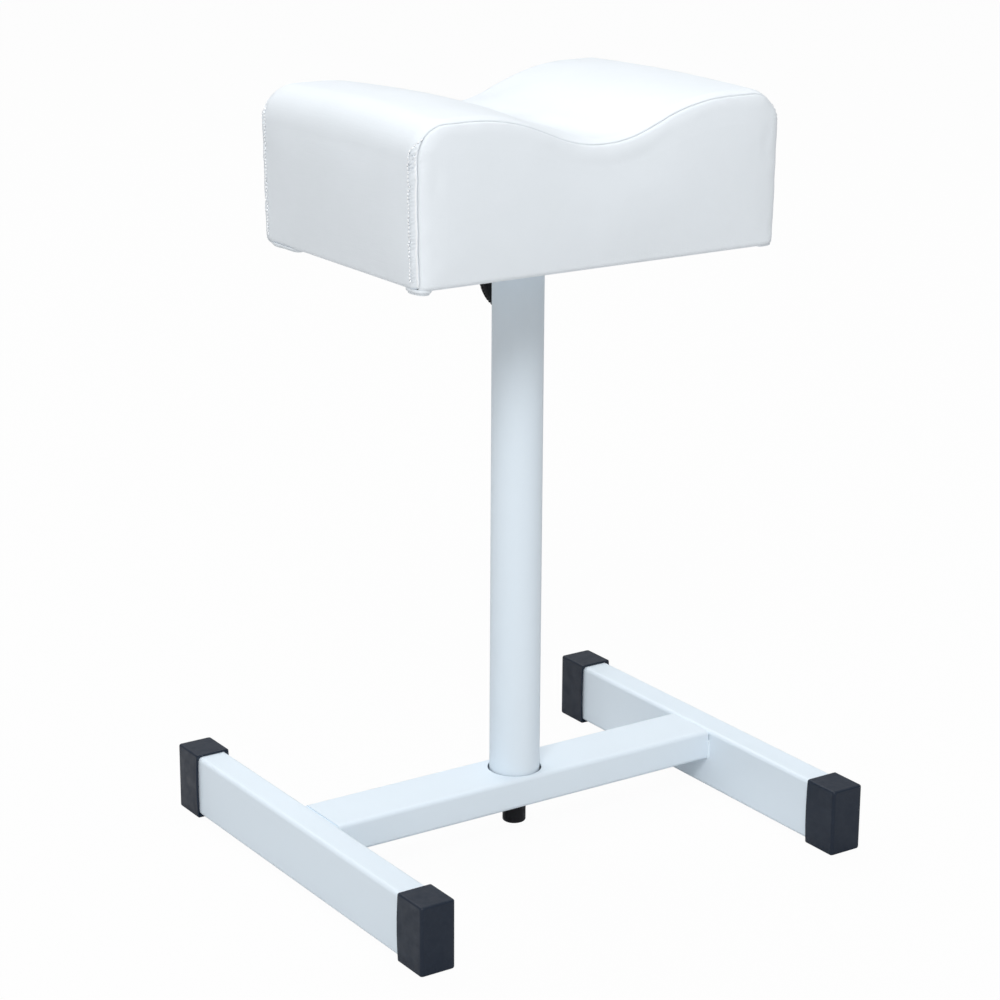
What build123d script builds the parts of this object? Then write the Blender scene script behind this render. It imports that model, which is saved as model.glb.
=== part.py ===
from build123d import *
import math
import os

# Pedicure footrest: an H-shaped tube base, a telescopic post with a hand clamp, and a saddle cushion.
# Lengths are in millimetres and angles in degrees. X runs along the crossbar, Y along the foot bars
# and Z up. The origin is on the floor, on the axis of the post.

# Rectangular tube of the base: on edge in the foot bars, flat in the crossbar
foot_bar_length = 362.0
foot_bar_spacing = 380.0
profile_short_side = 25.0
profile_long_side = 50.0
profile_wall = 1.5
profile_corner_radius = 3.5
profile_inner_corner_share = 0.5
weld_leg = 1.2
weld_face_angle = 45

# Pull-over caps, which are also the feet
end_cap_length = 32.0
end_cap_wall = 2.0
end_cap_end_wall = 3.5
end_cap_edge_chamfer = 1.2

# Post, and what holds it on the crossbar
post_diameter = 40.0
post_wall = 1.5
post_length = 439.0
post_hole_clearance = 1.5
foot_plug_thickness = 8.0
base_bolt_diameter = 8.0
base_bolt_hole_clearance = 0.25
base_bolt_overhang = 4.0
base_bolt_head_height = 5.3
base_nut_height = 6.8
base_nut_across_flats = 13.0
base_washer_diameter = 24.0
base_washer_thickness = 2.0
nut_cap_diameter = 18.6
nut_cap_length = 18.7
nut_cap_end_wall = 2.0
nut_cap_edge_chamfer = 1.2
nut_cap_hex_clearance = 0.1

# Hand clamp: its axis points out of the post, this far round from +X towards +Y
clamp_azimuth = 62.5
clamp_below_mouth = 29.5
clamp_nut_across_flats = 17.0
clamp_nut_length = 12.0
clamp_screw_diameter = 10.0
clamp_hole_clearance = 0.25
clamp_pad_diameter = 9.0
clamp_pad_thickness = 3.0
clamp_pad_gap = 0.2
clamp_pad_play = 0.1
pad_shank_diameter = 4.0
pad_shank_length = 4.0
knob_diameter = 48.0
knob_thickness = 16.0
knob_hub_diameter = 24.0
knob_hub_length = 4.0
knob_gap = 2.0
knob_edge_chamfer = 2.0
knob_screw_grip = 12.0
flute_count = 60
flute_depth = 0.7

# Telescopic tube and its guides
inner_tube_diameter = 32.0
inner_tube_wall = 2.0
height_travel = 220.0
stop_margin = 5.0
running_clearance = 0.05
bush_flange_thickness = 3.0
bush_flange_gap = 0.1
bush_sleeve_length = 18.0
glide_length = 60.0
glide_floor_thickness = 3.0

# Plate under the cushion
plate_rest_gap = 0.3
plate_weld_leg = 4.0
plate_length = 160.0
plate_width = 120.0
plate_thickness = 3.0
plate_corner_radius = 8.0
screw_spacing_x = 136.0
screw_spacing_y = 96.0
screw_shank_diameter = 4.5
screw_depth_in_board = 11.0
screw_head_across_flats = 8.0
screw_head_height = 2.4

# Saddle cushion, outside the cover
cushion_width = 320.0
cushion_depth = 224.0
cushion_height = 119.0
cushion_corner_radius = 26.0
saddle_depth = 26.0
saddle_slope = 22.5
saddle_rim_width = 20.0
saddle_valley_share = 0.39
cushion_crown = 2.0
side_draw = 1.5
seam_draw = 2.5
seam_setback = 5.0
panel_rounding_width = 11.0
panel_rounding_steps = 2
cover_thickness = 1.0
cover_hem_width = 25.0
foam_clearance = 0.3
board_thickness = 15.0
board_clearance = 1.5
board_corner_radius = 8.0

# Places of the cushion's cross-sections as shares of the way to the seam, each with its share of the
# seam's draw
section_shares = ((-1, 1), (-0.92, 0), (0, 0), (0.92, 0), (1, 1))

# How far a cutting shape runs past what it cuts
cut_overrun = 1.0

# Heights and radii that follow from the sizes above
foot_bar_bottom = end_cap_wall
foot_bar_middle = foot_bar_bottom + profile_long_side / 2
foot_bar_top = foot_bar_bottom + profile_long_side
foot_bar_inner_face = foot_bar_spacing / 2 - profile_short_side / 2
crossbar_bottom = foot_bar_top - profile_short_side
crossbar_middle = foot_bar_top - profile_short_side / 2
post_radius = post_diameter / 2
post_bore_radius = post_radius - post_wall
post_seat = crossbar_bottom + profile_wall
post_mouth = post_seat + post_length
clamp_height = post_mouth - clamp_below_mouth
inner_tube_radius = inner_tube_diameter / 2
plate_bottom = post_mouth + bush_flange_gap + bush_flange_thickness + plate_rest_gap + plate_weld_leg
board_bottom = plate_bottom + plate_thickness
board_top = board_bottom + board_thickness
cushion_bottom = board_bottom - cover_thickness
cushion_top = cushion_bottom + cushion_height
glide_top = clamp_height - clamp_screw_diameter / 2 - stop_margin - height_travel
glide_bottom = glide_top - glide_length
inner_tube_bottom = glide_bottom + glide_floor_thickness
seam_plane = cushion_depth / 2 - seam_setback
hem_inner_x = cushion_width / 2 - cover_hem_width
hem_inner_y = cushion_depth / 2 - cover_hem_width
clamp_plane = Plane(
    origin=(0, 0, clamp_height),
    z_dir=(math.cos(math.radians(clamp_azimuth)), math.sin(math.radians(clamp_azimuth)), 0),
)
clamp_screw_radius = clamp_screw_diameter / 2
clamp_nut_end = post_radius + clamp_nut_length
pad_face = inner_tube_radius + clamp_pad_gap
pad_back = pad_face + clamp_pad_thickness
stud_tip = pad_back + clamp_pad_play
knob_hub_face = clamp_nut_end + knob_gap
knob_inner_face = knob_hub_face + knob_hub_length
knob_outer_face = knob_inner_face + knob_thickness
stud_end = knob_hub_face + knob_screw_grip


def rod(radius, low, high):
    """Round bar on the Z axis, between two heights."""
    bar = Cylinder(radius, high - low, align=(Align.CENTER, Align.CENTER, Align.MIN))
    return Pos(0, 0, low) * bar


def ring(outer_radius, inner_radius, low, high):
    """Round tube or washer on the Z axis, between two heights."""
    return rod(outer_radius, low, high) - rod(inner_radius, low - cut_overrun, high + cut_overrun)


def hexagon_bar(across_flats, low, high):
    """Six-sided bar on the Z axis, between two heights."""
    outline = RegularPolygon(across_flats / 2, 6, major_radius=False)
    return extrude(Pos(0, 0, low) * outline, amount=high - low)


def block(x_range, y_range, z_range):
    """Box between two X, two Y and two Z values."""
    size = [high - low for low, high in (x_range, y_range, z_range)]
    corner = [low for low, high in (x_range, y_range, z_range)]
    return Pos(*corner) * Box(*size, align=(Align.MIN, Align.MIN, Align.MIN))


# Base


def profile_outline(across, up):
    """Outside of the rectangular tube."""
    return RectangleRounded(across, up, profile_corner_radius)


def profile_tube(plane, across, up, length):
    """Rectangular tube along a plane's normal, centred on its origin."""
    inner_corner = profile_corner_radius * profile_inner_corner_share
    inside = RectangleRounded(across - 2 * profile_wall, up - 2 * profile_wall, inner_corner)
    section = profile_outline(across, up) - inside
    return extrude(plane * section, amount=length / 2, both=True)


def foot_bar(side):
    """Foot bar on one side: -1 left, 1 right."""
    tube = profile_tube(Plane.XZ, profile_short_side, profile_long_side, foot_bar_length)
    return Pos(side * foot_bar_spacing / 2, 0, foot_bar_middle) * tube


def crossbar():
    """Crossbar with the post's hole through its top wall and the bolt's hole through its bottom."""
    tube = profile_tube(Plane.YZ, profile_long_side, profile_short_side, 2 * foot_bar_inner_face)
    tube = Pos(0, 0, crossbar_middle) * tube
    post_hole = rod(post_radius + post_hole_clearance, crossbar_middle, foot_bar_top + cut_overrun)
    bolt_hole_radius = base_bolt_diameter / 2 + base_bolt_hole_clearance
    bolt_hole = rod(bolt_hole_radius, crossbar_bottom - cut_overrun, crossbar_middle)
    return tube - post_hole - bolt_hole


def crossbar_weld(side):
    """Fillet bead round the crossbar's end, with the groove over the foot bar's corner filled."""
    end = Plane(origin=(foot_bar_inner_face, 0, crossbar_middle), x_dir=(0, 1, 0), z_dir=(-1, 0, 0))
    wide = profile_long_side + 2 * weld_leg
    foot = Rectangle(wide, profile_short_side + 2 * weld_leg)
    bead = extrude(end * foot, amount=weld_leg, taper=weld_face_angle)
    bar_end = extrude(end * profile_outline(profile_long_side, profile_short_side), amount=2 * weld_leg)
    groove_end = foot_bar_inner_face + profile_corner_radius
    groove_floor = foot_bar_top - profile_corner_radius
    groove = block((foot_bar_inner_face, groove_end), (-wide / 2, wide / 2), (groove_floor, foot_bar_top))
    bar_outline = profile_outline(profile_short_side, profile_long_side)
    bar_side = extrude(Plane.XZ * bar_outline, amount=wide, both=True)
    bar_side = Pos(foot_bar_spacing / 2, 0, foot_bar_middle) * bar_side
    below_top = block(
        (foot_bar_inner_face - 2 * weld_leg, groove_end), (-wide, wide), (0, foot_bar_top)
    )
    weld = ((bead - bar_end) & below_top) + (groove - bar_side)
    return weld if side > 0 else mirror(weld, about=Plane.YZ)


def end_cap(side, end):
    """Cap over one end of a foot bar: side -1 left or 1 right, end -1 front or 1 back."""
    mouth = end_cap_end_wall - end_cap_length
    outline = Rectangle(profile_short_side + 2 * end_cap_wall, profile_long_side + 2 * end_cap_wall)
    cap = extrude(Pos(0, 0, mouth) * outline, amount=end_cap_length)
    mouth_edges = cap.faces().sort_by(Axis.Z)[0].edges()
    cap = chamfer(cap.edges().sort_by(Axis.Z)[len(mouth_edges):], end_cap_edge_chamfer)
    pocket_outline = profile_outline(profile_short_side, profile_long_side)
    pocket = extrude(Pos(0, 0, mouth - cut_overrun) * pocket_outline, amount=cut_overrun - mouth)
    place = Plane(
        origin=(side * foot_bar_spacing / 2, end * foot_bar_length / 2, foot_bar_middle),
        x_dir=(1, 0, 0),
        z_dir=(0, end, 0),
    )
    return place.location * (cap - pocket)


# Post and its fastening


def post_tube():
    """Post with the clamp screw's hole through one wall."""
    tube = ring(post_radius, post_bore_radius, post_seat, post_mouth)
    hole = rod(clamp_screw_radius + clamp_hole_clearance, 0, post_radius + cut_overrun)
    return tube - clamp_plane.location * hole


def post_foot_plug():
    """Disc welded into the foot of the post."""
    return ring(post_bore_radius, base_bolt_diameter / 2, post_seat, post_seat + foot_plug_thickness)


def base_bolt():
    """Bolt through plug, crossbar, washer and nut, with its head inside the post."""
    head_low = post_seat + foot_plug_thickness
    tip = crossbar_bottom - base_washer_thickness - base_nut_height - base_bolt_overhang
    head = hexagon_bar(base_nut_across_flats, head_low, head_low + base_bolt_head_height)
    return rod(base_bolt_diameter / 2, tip, head_low) + head


def base_washer():
    """Washer under the crossbar."""
    low = crossbar_bottom - base_washer_thickness
    return ring(base_washer_diameter / 2, base_bolt_diameter / 2, low, crossbar_bottom)


def base_nut():
    """Nut on the base bolt."""
    high = crossbar_bottom - base_washer_thickness
    nut = hexagon_bar(base_nut_across_flats, high - base_nut_height, high)
    return nut - rod(base_bolt_diameter / 2, high - base_nut_height - cut_overrun, high + cut_overrun)


def base_nut_cap():
    """Cap pressed over the nut and the end of the bolt."""
    high = crossbar_bottom - base_washer_thickness
    low = high - nut_cap_length
    cap = rod(nut_cap_diameter / 2, low, high)
    cap = chamfer(cap.edges().sort_by(Axis.Z)[0], nut_cap_edge_chamfer)
    pocket_across_flats = base_nut_across_flats + 2 * nut_cap_hex_clearance
    return cap - hexagon_bar(pocket_across_flats, low + nut_cap_end_wall, high + cut_overrun)


# Hand clamp, along the clamp plane's Z axis, with heights measured from the post's axis


def clamp_nut():
    """Weld nut with its inner end cut to the curve of the post."""
    nut = hexagon_bar(clamp_nut_across_flats, 0, clamp_nut_end)
    nut = clamp_plane.location * (nut - rod(clamp_screw_radius, 0, clamp_nut_end + cut_overrun))
    reach = clamp_nut_across_flats
    return nut - rod(post_radius, clamp_height - reach, clamp_height + reach)


def clamp_pad():
    """Pressure piece, with a shank in the tip of the screw."""
    pad = rod(clamp_pad_diameter / 2, pad_face, pad_back)
    shank = rod(pad_shank_diameter / 2, pad_back, pad_back + pad_shank_length)
    return clamp_plane.location * (pad + shank)


def clamp_stud():
    """Clamp screw, drilled at its tip for the pad's shank."""
    screw = rod(clamp_screw_radius - running_clearance, stud_tip, stud_end)
    drill_end = pad_back + pad_shank_length + clamp_pad_play
    drilling = rod(pad_shank_diameter / 2 + running_clearance, stud_tip - cut_overrun, drill_end)
    return clamp_plane.location * (screw - drilling)


def fluted_outline(radius, height):
    """Outline of the knob's rim at one height, with a groove between each two ribs."""
    corners = []
    for index in range(2 * flute_count):
        turn = math.radians(180 * index / flute_count)
        distance = radius - flute_depth * (index % 2)
        corners.append((distance * math.cos(turn), distance * math.sin(turn)))
    return Pos(0, 0, height) * make_face(Polyline(*corners, close=True))


def clamp_knob():
    """Round knob with a hub and a fluted rim with bevelled edges."""
    radius = knob_diameter / 2
    rim = [
        (radius - knob_edge_chamfer, knob_inner_face),
        (radius, knob_inner_face + knob_edge_chamfer),
        (radius, knob_outer_face - knob_edge_chamfer),
        (radius - knob_edge_chamfer, knob_outer_face),
    ]
    knob = loft([fluted_outline(*section) for section in rim], ruled=True)
    knob += rod(knob_hub_diameter / 2, knob_hub_face, knob_inner_face)
    bore = rod(clamp_screw_radius - running_clearance, knob_hub_face - cut_overrun, stud_end)
    return clamp_plane.location * (knob - bore)


# Telescopic tube


def post_bush():
    """Flanged bush in the mouth of the post."""
    bore_radius = inner_tube_radius + running_clearance
    flange_low = post_mouth + bush_flange_gap
    flange = ring(post_radius, bore_radius, flange_low, flange_low + bush_flange_thickness)
    sleeve_low = post_mouth - bush_sleeve_length
    return flange + ring(post_bore_radius - running_clearance, bore_radius, sleeve_low, flange_low)


def inner_tube():
    """Tube that slides and turns in the post."""
    return ring(inner_tube_radius, inner_tube_radius - inner_tube_wall, inner_tube_bottom, plate_bottom)


def tube_glide():
    """Cup round the tube's lower end. Its top edge is the upper stop."""
    cup = rod(post_bore_radius - running_clearance, glide_bottom, glide_top)
    return cup - rod(inner_tube_radius, inner_tube_bottom, glide_top + cut_overrun)


def plate_weld():
    """Fillet bead between the inner tube and the plate."""
    bead = Cone(
        inner_tube_radius,
        inner_tube_radius + plate_weld_leg,
        plate_weld_leg,
        align=(Align.CENTER, Align.CENTER, Align.MAX),
    )
    tube = rod(inner_tube_radius, plate_bottom - 2 * plate_weld_leg, plate_bottom + cut_overrun)
    return Pos(0, 0, plate_bottom) * bead - tube


def screw_places():
    """Where the four wood screws stand."""
    return GridLocations(screw_spacing_x, screw_spacing_y, 2, 2)


def screw_shanks(low, high):
    """The four screw shanks as one cutting shape."""
    return [place * rod(screw_shank_diameter / 2, low, high) for place in screw_places()]


def mounting_plate():
    """Plate that the cushion is screwed to."""
    outline = RectangleRounded(plate_length, plate_width, plate_corner_radius)
    plate = extrude(Pos(0, 0, plate_bottom) * outline, amount=plate_thickness)
    return plate - screw_shanks(plate_bottom - cut_overrun, board_bottom + cut_overrun)


def plate_screws():
    """Four hexagon-head wood screws through the plate into the board."""
    head = hexagon_bar(screw_head_across_flats, plate_bottom - screw_head_height, plate_bottom)
    shank = rod(screw_shank_diameter / 2, plate_bottom, board_bottom + screw_depth_in_board)
    screw = head + shank
    return Compound([place * screw for place in screw_places()])


# Cushion


def arc(centre, radius, start_angle, end_angle):
    """Arc about a centre in the section's plane, between two angles."""
    return CenterArc(centre, radius, start_angle, end_angle - start_angle)


def saddle_section(place, inset, low):
    """Closed outline across the cushion at one place along its depth.

    inset moves the whole outline inwards, as a thickness does, and low is its lower edge.
    """
    top = cushion_top - cushion_crown * min(abs(place) / seam_plane, 1) ** 2
    corner_x = cushion_width / 2 - cushion_corner_radius
    corner_z = top - cushion_corner_radius
    shoulder_x = corner_x - saddle_rim_width
    slope = math.radians(saddle_slope)
    radii = (shoulder_x - saddle_depth / math.tan(slope)) / math.tan(slope / 2)
    valley_radius = radii * saddle_valley_share
    shoulder_radius = radii - valley_radius
    valley_centre = (0, top - saddle_depth + valley_radius)
    side_height = cushion_height - cushion_corner_radius
    side_radius = (side_height**2 + side_draw**2) / (2 * side_draw)
    side_centre = (cushion_width / 2 - side_radius, corner_z)
    side_angle = math.degrees(math.asin((corner_z - low) / (side_radius - inset)))
    right = [
        arc(side_centre, side_radius - inset, -side_angle, 0),
        arc((corner_x, corner_z), cushion_corner_radius - inset, 0, 90),
        Line((corner_x, top - inset), (shoulder_x, top - inset)),
        arc((shoulder_x, top - shoulder_radius), shoulder_radius - inset, 90, 90 + saddle_slope),
    ]
    valley = arc(valley_centre, valley_radius + inset, 270 - saddle_slope, 270 + saddle_slope)
    right.append(Line(right[-1] @ 1, valley @ 1))
    left = [mirror(edge, about=Plane.YZ) for edge in right]
    foot = Line(left[0] @ 0, right[0] @ 0)
    plane = Plane(origin=(0, place, 0), x_dir=(1, 0, 0), z_dir=(0, -1, 0))
    return plane * make_face(Curve() + (right + [valley] + left + [foot]))


def body_stations(inset, overrun=0):
    """Places and insets of the sections between the two seams, crowned and drawn in at the seams."""
    stations = [(share * seam_plane, inset + draw_share * seam_draw) for share, draw_share in section_shares]
    if overrun:
        first, last = stations[0], stations[-1]
        stations = [(first[0] - overrun, first[1])] + stations + [(last[0] + overrun, last[1])]
    return stations


def dome_stations(end, inset, steps, overrun=0):
    """Places and insets of the sections of one domed end, from its seam outwards: -1 front, 1 back."""
    stations = [(end * (seam_plane - overrun), inset + seam_draw)] if overrun else []
    for step in range(steps + 1):
        turn = math.radians(90 * step / steps)
        place = seam_plane + (seam_setback - inset) * math.sin(turn)
        stations.append((end * place, inset + seam_draw + panel_rounding_width * (1 - math.cos(turn))))
    return stations


def saddle_form(stations, low):
    """Solid through the sections at the stations, down to one height."""
    return loft([saddle_section(place, inset, low) for place, inset in stations], ruled=True)


def cushion_board():
    """Wooden board under the foam, with the screws' holes."""
    width = cushion_width - 2 * (cover_thickness + side_draw + board_clearance)
    depth = cushion_depth - 2 * (cover_thickness + board_clearance)
    outline = RectangleRounded(width, depth, board_corner_radius)
    board = extrude(Pos(0, 0, board_bottom) * outline, amount=board_thickness)
    return board - screw_shanks(board_bottom - cut_overrun, board_bottom + screw_depth_in_board)


def cushion_foam():
    """Foam block on the board, with plainly bevelled ends inside the domed panels."""
    inset = cover_thickness + foam_clearance
    front = dome_stations(-1, inset, 1)[1:]
    back = dome_stations(1, inset, 1)[1:]
    return saddle_form(front + body_stations(inset) + back, board_top)


def hem_zone(x_range, y_range):
    """Part of the layer under the board that a turned-in hem takes up."""
    return block(x_range, y_range, (cushion_bottom - cut_overrun, board_bottom))


def cover_strip():
    """Strip over the left side, the top and the right side, turned in under the board."""
    envelope = saddle_form(body_stations(0), cushion_bottom)
    inside = saddle_form(body_stations(cover_thickness, cut_overrun), cushion_bottom - cut_overrun)
    strip = envelope - inside
    for low, high in ((-cushion_width, -hem_inner_x), (hem_inner_x, cushion_width)):
        strip += envelope & hem_zone((low, high), (-cushion_depth, cushion_depth))
    return strip


def cover_end_panel(end):
    """Domed end panel with its turned-in hem: -1 front, 1 back."""
    envelope = saddle_form(dome_stations(end, 0, panel_rounding_steps), cushion_bottom)
    inner_stations = dome_stations(end, cover_thickness, panel_rounding_steps, cut_overrun)
    panel = envelope - saddle_form(inner_stations, cushion_bottom - cut_overrun)
    far = sorted((end * seam_plane, end * cushion_depth))
    near = sorted((end * hem_inner_y, end * seam_plane))
    panel += envelope & hem_zone((-cushion_width, cushion_width), far)
    body = saddle_form(body_stations(0), cushion_bottom)
    return panel + (body & hem_zone((-hem_inner_x, hem_inner_x), near))


def parts():
    """Each node's name and shape."""
    yield "foot_bar_left", foot_bar(-1)
    yield "foot_bar_right", foot_bar(1)
    yield "crossbar", crossbar()
    yield "weld_left", crossbar_weld(-1)
    yield "weld_right", crossbar_weld(1)
    for end_name, end in (("front", -1), ("back", 1)):
        for side_name, side in (("left", -1), ("right", 1)):
            yield f"end_cap_{end_name}_{side_name}", end_cap(side, end)
    yield "post_tube", post_tube()
    yield "post_foot_plug", post_foot_plug()
    yield "base_bolt", base_bolt()
    yield "base_washer", base_washer()
    yield "base_nut", base_nut()
    yield "base_nut_cap", base_nut_cap()
    yield "clamp_nut", clamp_nut()
    yield "clamp_pad", clamp_pad()
    yield "clamp_stud", clamp_stud()
    yield "clamp_knob", clamp_knob()
    yield "post_bush", post_bush()
    yield "inner_tube", inner_tube()
    yield "tube_glide", tube_glide()
    yield "plate_weld", plate_weld()
    yield "mounting_plate", mounting_plate()
    yield "plate_screws", plate_screws()
    yield "cushion_board", cushion_board()
    yield "cushion_foam", cushion_foam()
    yield "cover_strip", cover_strip()
    yield "cover_front_panel", cover_end_panel(-1)
    yield "cover_back_panel", cover_end_panel(1)


os.makedirs("parts", exist_ok=True)
for name, shape in parts():
    export_step(shape, f"parts/{name}.step")
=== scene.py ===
"""Looks of the pedicure footrest: an H-shaped tube base, a telescopic post and a saddle cushion.

Sizes in the classes below are in millimetres, as in the CAD model. A mesh gets its metres when its
piece is made. X runs along the crossbar, Y along the foot bars and Z up, from the floor.
"""

import logging
import math
from abc import ABC, abstractmethod
from collections.abc import Sequence
from dataclasses import dataclass, field
from enum import Enum

import bmesh
import bpy
import numpy as np
from mathutils import Matrix, Vector
from numpy.typing import NDArray


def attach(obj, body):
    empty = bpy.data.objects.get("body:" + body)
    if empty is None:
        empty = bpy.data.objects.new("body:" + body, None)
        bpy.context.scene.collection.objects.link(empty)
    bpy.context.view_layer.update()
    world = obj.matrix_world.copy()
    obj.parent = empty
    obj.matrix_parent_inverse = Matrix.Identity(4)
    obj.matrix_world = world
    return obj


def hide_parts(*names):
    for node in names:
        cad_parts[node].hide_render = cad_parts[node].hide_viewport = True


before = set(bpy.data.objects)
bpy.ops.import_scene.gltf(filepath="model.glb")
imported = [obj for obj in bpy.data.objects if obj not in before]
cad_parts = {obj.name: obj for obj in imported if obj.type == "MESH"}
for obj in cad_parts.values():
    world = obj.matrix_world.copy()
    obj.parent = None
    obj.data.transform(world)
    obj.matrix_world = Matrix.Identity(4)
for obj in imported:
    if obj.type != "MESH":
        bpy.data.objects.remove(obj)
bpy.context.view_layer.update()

LOG = logging.getLogger("footrest")
MM = 0.001
Array = NDArray[np.float64]
Numbers = NDArray[np.int64]
Socket = bpy.types.NodeSocket
Inputs = dict[str | int, object]
Colour = tuple[float, float, float]
Place = tuple[float, float, float]


class Side(Enum):
    """Side of the footrest, seen from the front."""

    LEFT = -1
    RIGHT = 1


class End(Enum):
    """End of the footrest along Y."""

    FRONT = -1
    BACK = 1


class Body(Enum):
    """Body of the CAD model that a piece moves with."""

    BASE = "base"
    BUSH = "bush"
    HEAD = "head"
    PAD = "clamp_pad"
    KNOB = "clamp_knob"


class CopyShape(Enum):
    """Small shape that Geometry Nodes repeat."""

    BEAD = "bead"
    ROD = "rod"
    BLOCK = "block"


# Finishes


def add_node(tree: bpy.types.NodeTree, kind: str, inputs: Inputs | None = None,
             **settings: object) -> bpy.types.Node:
    """Add a node to a tree.

    Args:
        tree: The tree.
        kind: Type of the node.
        inputs: The socket or the value that each input gets, by name or number.
        settings: Its properties by name.

    Returns:
        The node.
    """
    made = tree.nodes.new(kind)
    for name, value in settings.items():
        setattr(made, name, value)
    for name, value in (inputs or {}).items():
        if isinstance(value, Socket):
            tree.links.new(value, made.inputs[name])
        else:
            made.inputs[name].default_value = value
    return made


class Shading:
    """Node tree of one procedural material."""

    def __init__(self, name: str) -> None:
        """Start a material with a principled shader and Object coordinates.

        Args:
            name: Name of the material.
        """
        self.material = bpy.data.materials.new(name)
        self.material.use_nodes = True
        self.tree = self.material.node_tree
        self.tree.nodes.clear()
        self.surface = self.node("ShaderNodeBsdfPrincipled")
        inputs = {"Surface": self.surface.outputs["BSDF"]}
        self.output = self.node("ShaderNodeOutputMaterial", inputs)
        self.place = self.node("ShaderNodeTexCoord").outputs["Object"]

    def node(self, kind: str, inputs: Inputs | None = None, **settings: object) -> bpy.types.Node:
        """Add a node to the material, with its inputs and properties."""
        return add_node(self.tree, kind, inputs, **settings)

    def noise(self, grain: float, detail: float = 3.0, stretch: Place = (1.0, 1.0, 1.0),
              bend: float = 0.0) -> Socket:
        """Noise over the piece.

        Args:
            grain: Size of its features in millimetres.
            detail: How many finer layers it has.
            stretch: How much longer its features are along each axis.
            bend: How far it is distorted.

        Returns:
            The socket with the noise, around one half.
        """
        mapping = self.node(
            "ShaderNodeMapping", {"Vector": self.place, "Scale": stretch}, vector_type="TEXTURE")
        texture = self.node("ShaderNodeTexNoise", {
            "Vector": mapping.outputs["Vector"], "Scale": 1 / (grain * MM), "Detail": detail,
            "Distortion": bend})
        return texture.outputs["Fac"]

    def cells(self, grain: float) -> Socket:
        """Pebbled pattern over the piece.

        Args:
            grain: Size of its cells in millimetres.

        Returns:
            The socket with the distance to the edge of the nearest cell.
        """
        inputs = {"Vector": self.place, "Scale": 1 / (grain * MM)}
        texture = self.node("ShaderNodeTexVoronoi", inputs, feature="DISTANCE_TO_EDGE")
        return texture.outputs["Distance"]

    def attribute(self, name: str) -> Socket:
        """Number that the mesh keeps at each point."""
        return self.node("ShaderNodeAttribute", attribute_name=name).outputs["Fac"]

    def spread(self, value: Socket, low: float, high: float, start: float = 0.3,
               stop: float = 0.7) -> Socket:
        """Value stretched from one range to another, and held inside it.

        Args:
            value: The value.
            low: What the start of its range becomes.
            high: What the end of its range becomes.
            start: Start of its range.
            stop: End of its range.

        Returns:
            The socket with the stretched value.
        """
        made = self.node("ShaderNodeMapRange", {
            "Value": value, "From Min": start, "From Max": stop, "To Min": low, "To Max": high})
        return made.outputs["Result"]

    def mix(self, share: Socket, first: Colour | Socket, second: Colour) -> Socket:
        """Colour between two.

        Args:
            share: Share of the second colour, from zero to one.
            first: One colour, or the socket with it.
            second: The other colour.

        Returns:
            The socket with the mixed colour.
        """
        first = (*first, 1) if isinstance(first, tuple) else first
        made = self.node("ShaderNodeMix", {0: share, 6: first, 7: (*second, 1)}, data_type="RGBA")
        return made.outputs[2]

    def relief(self, height: Socket, depth: float, below: Socket | None = None) -> Socket:
        """Relief of a surface.

        Args:
            height: Height over the piece, from zero to one.
            depth: Depth of the relief in millimetres.
            below: Another relief that it lies on.

        Returns:
            The socket with the surface's normal.
        """
        inputs = {"Height": height, "Distance": depth * MM}
        if below is not None:
            inputs["Normal"] = below
        return self.node("ShaderNodeBump", inputs).outputs["Normal"]

    def finish(self, colour: Socket, roughness: Socket, normal: Socket, metallic: float = 0.0,
               specular: float = 0.5) -> None:
        """Join colour, roughness and relief to the shader.

        Args:
            colour: Colour over the piece.
            roughness: Roughness over the piece.
            normal: Relief over the piece.
            metallic: How metallic it is, the same all over.
            specular: Level of its reflections, the same all over.
        """
        inputs = self.surface.inputs
        for name, source in (("Base Color", colour), ("Roughness", roughness), ("Normal", normal)):
            self.tree.links.new(source, inputs[name])
        inputs["Metallic"].default_value = metallic
        inputs["Specular IOR Level"].default_value = specular


@dataclass(frozen=True)
class Finish(ABC):
    """Finish of a piece, with the record's slot that it stands for."""

    name: str
    slot: str

    def material(self) -> bpy.types.Material:
        """Return the finish's material, and make it on first use."""
        if self.name not in bpy.data.materials:
            self.make()
        return bpy.data.materials[self.name]

    @abstractmethod
    def make(self) -> None:
        """Build the material's nodes."""


@dataclass(frozen=True)
class PowderCoat(Finish):
    """White powder coating on steel, with a faint orange peel."""

    name: str = "white_powder_coat"
    slot: str = "white_metal"
    colour: Colour = (0.808, 0.9, 0.98)
    worn_colour: Colour = (0.78, 0.875, 0.955)
    dust_colour: Colour = (0.66, 0.72, 0.78)

    def make(self) -> None:
        """Build the material's nodes."""
        shading = Shading(self.name)
        cloud = shading.spread(shading.noise(90, 4), 0.0, 0.6, 0.1, 0.9)
        colour = shading.mix(cloud, self.colour, self.worn_colour)
        dust = shading.spread(shading.noise(0.6, 2), 0.0, 0.06, 0.6, 0.8)
        colour = shading.mix(dust, colour, self.dust_colour)
        roughness = shading.spread(shading.noise(25, 4), 0.34, 0.5, 0.1, 0.9)
        peel = shading.relief(shading.noise(2.4, 2), 0.018)
        normal = shading.relief(shading.noise(0.5, 1), 0.004, peel)
        shading.finish(colour, roughness, normal)


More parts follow.
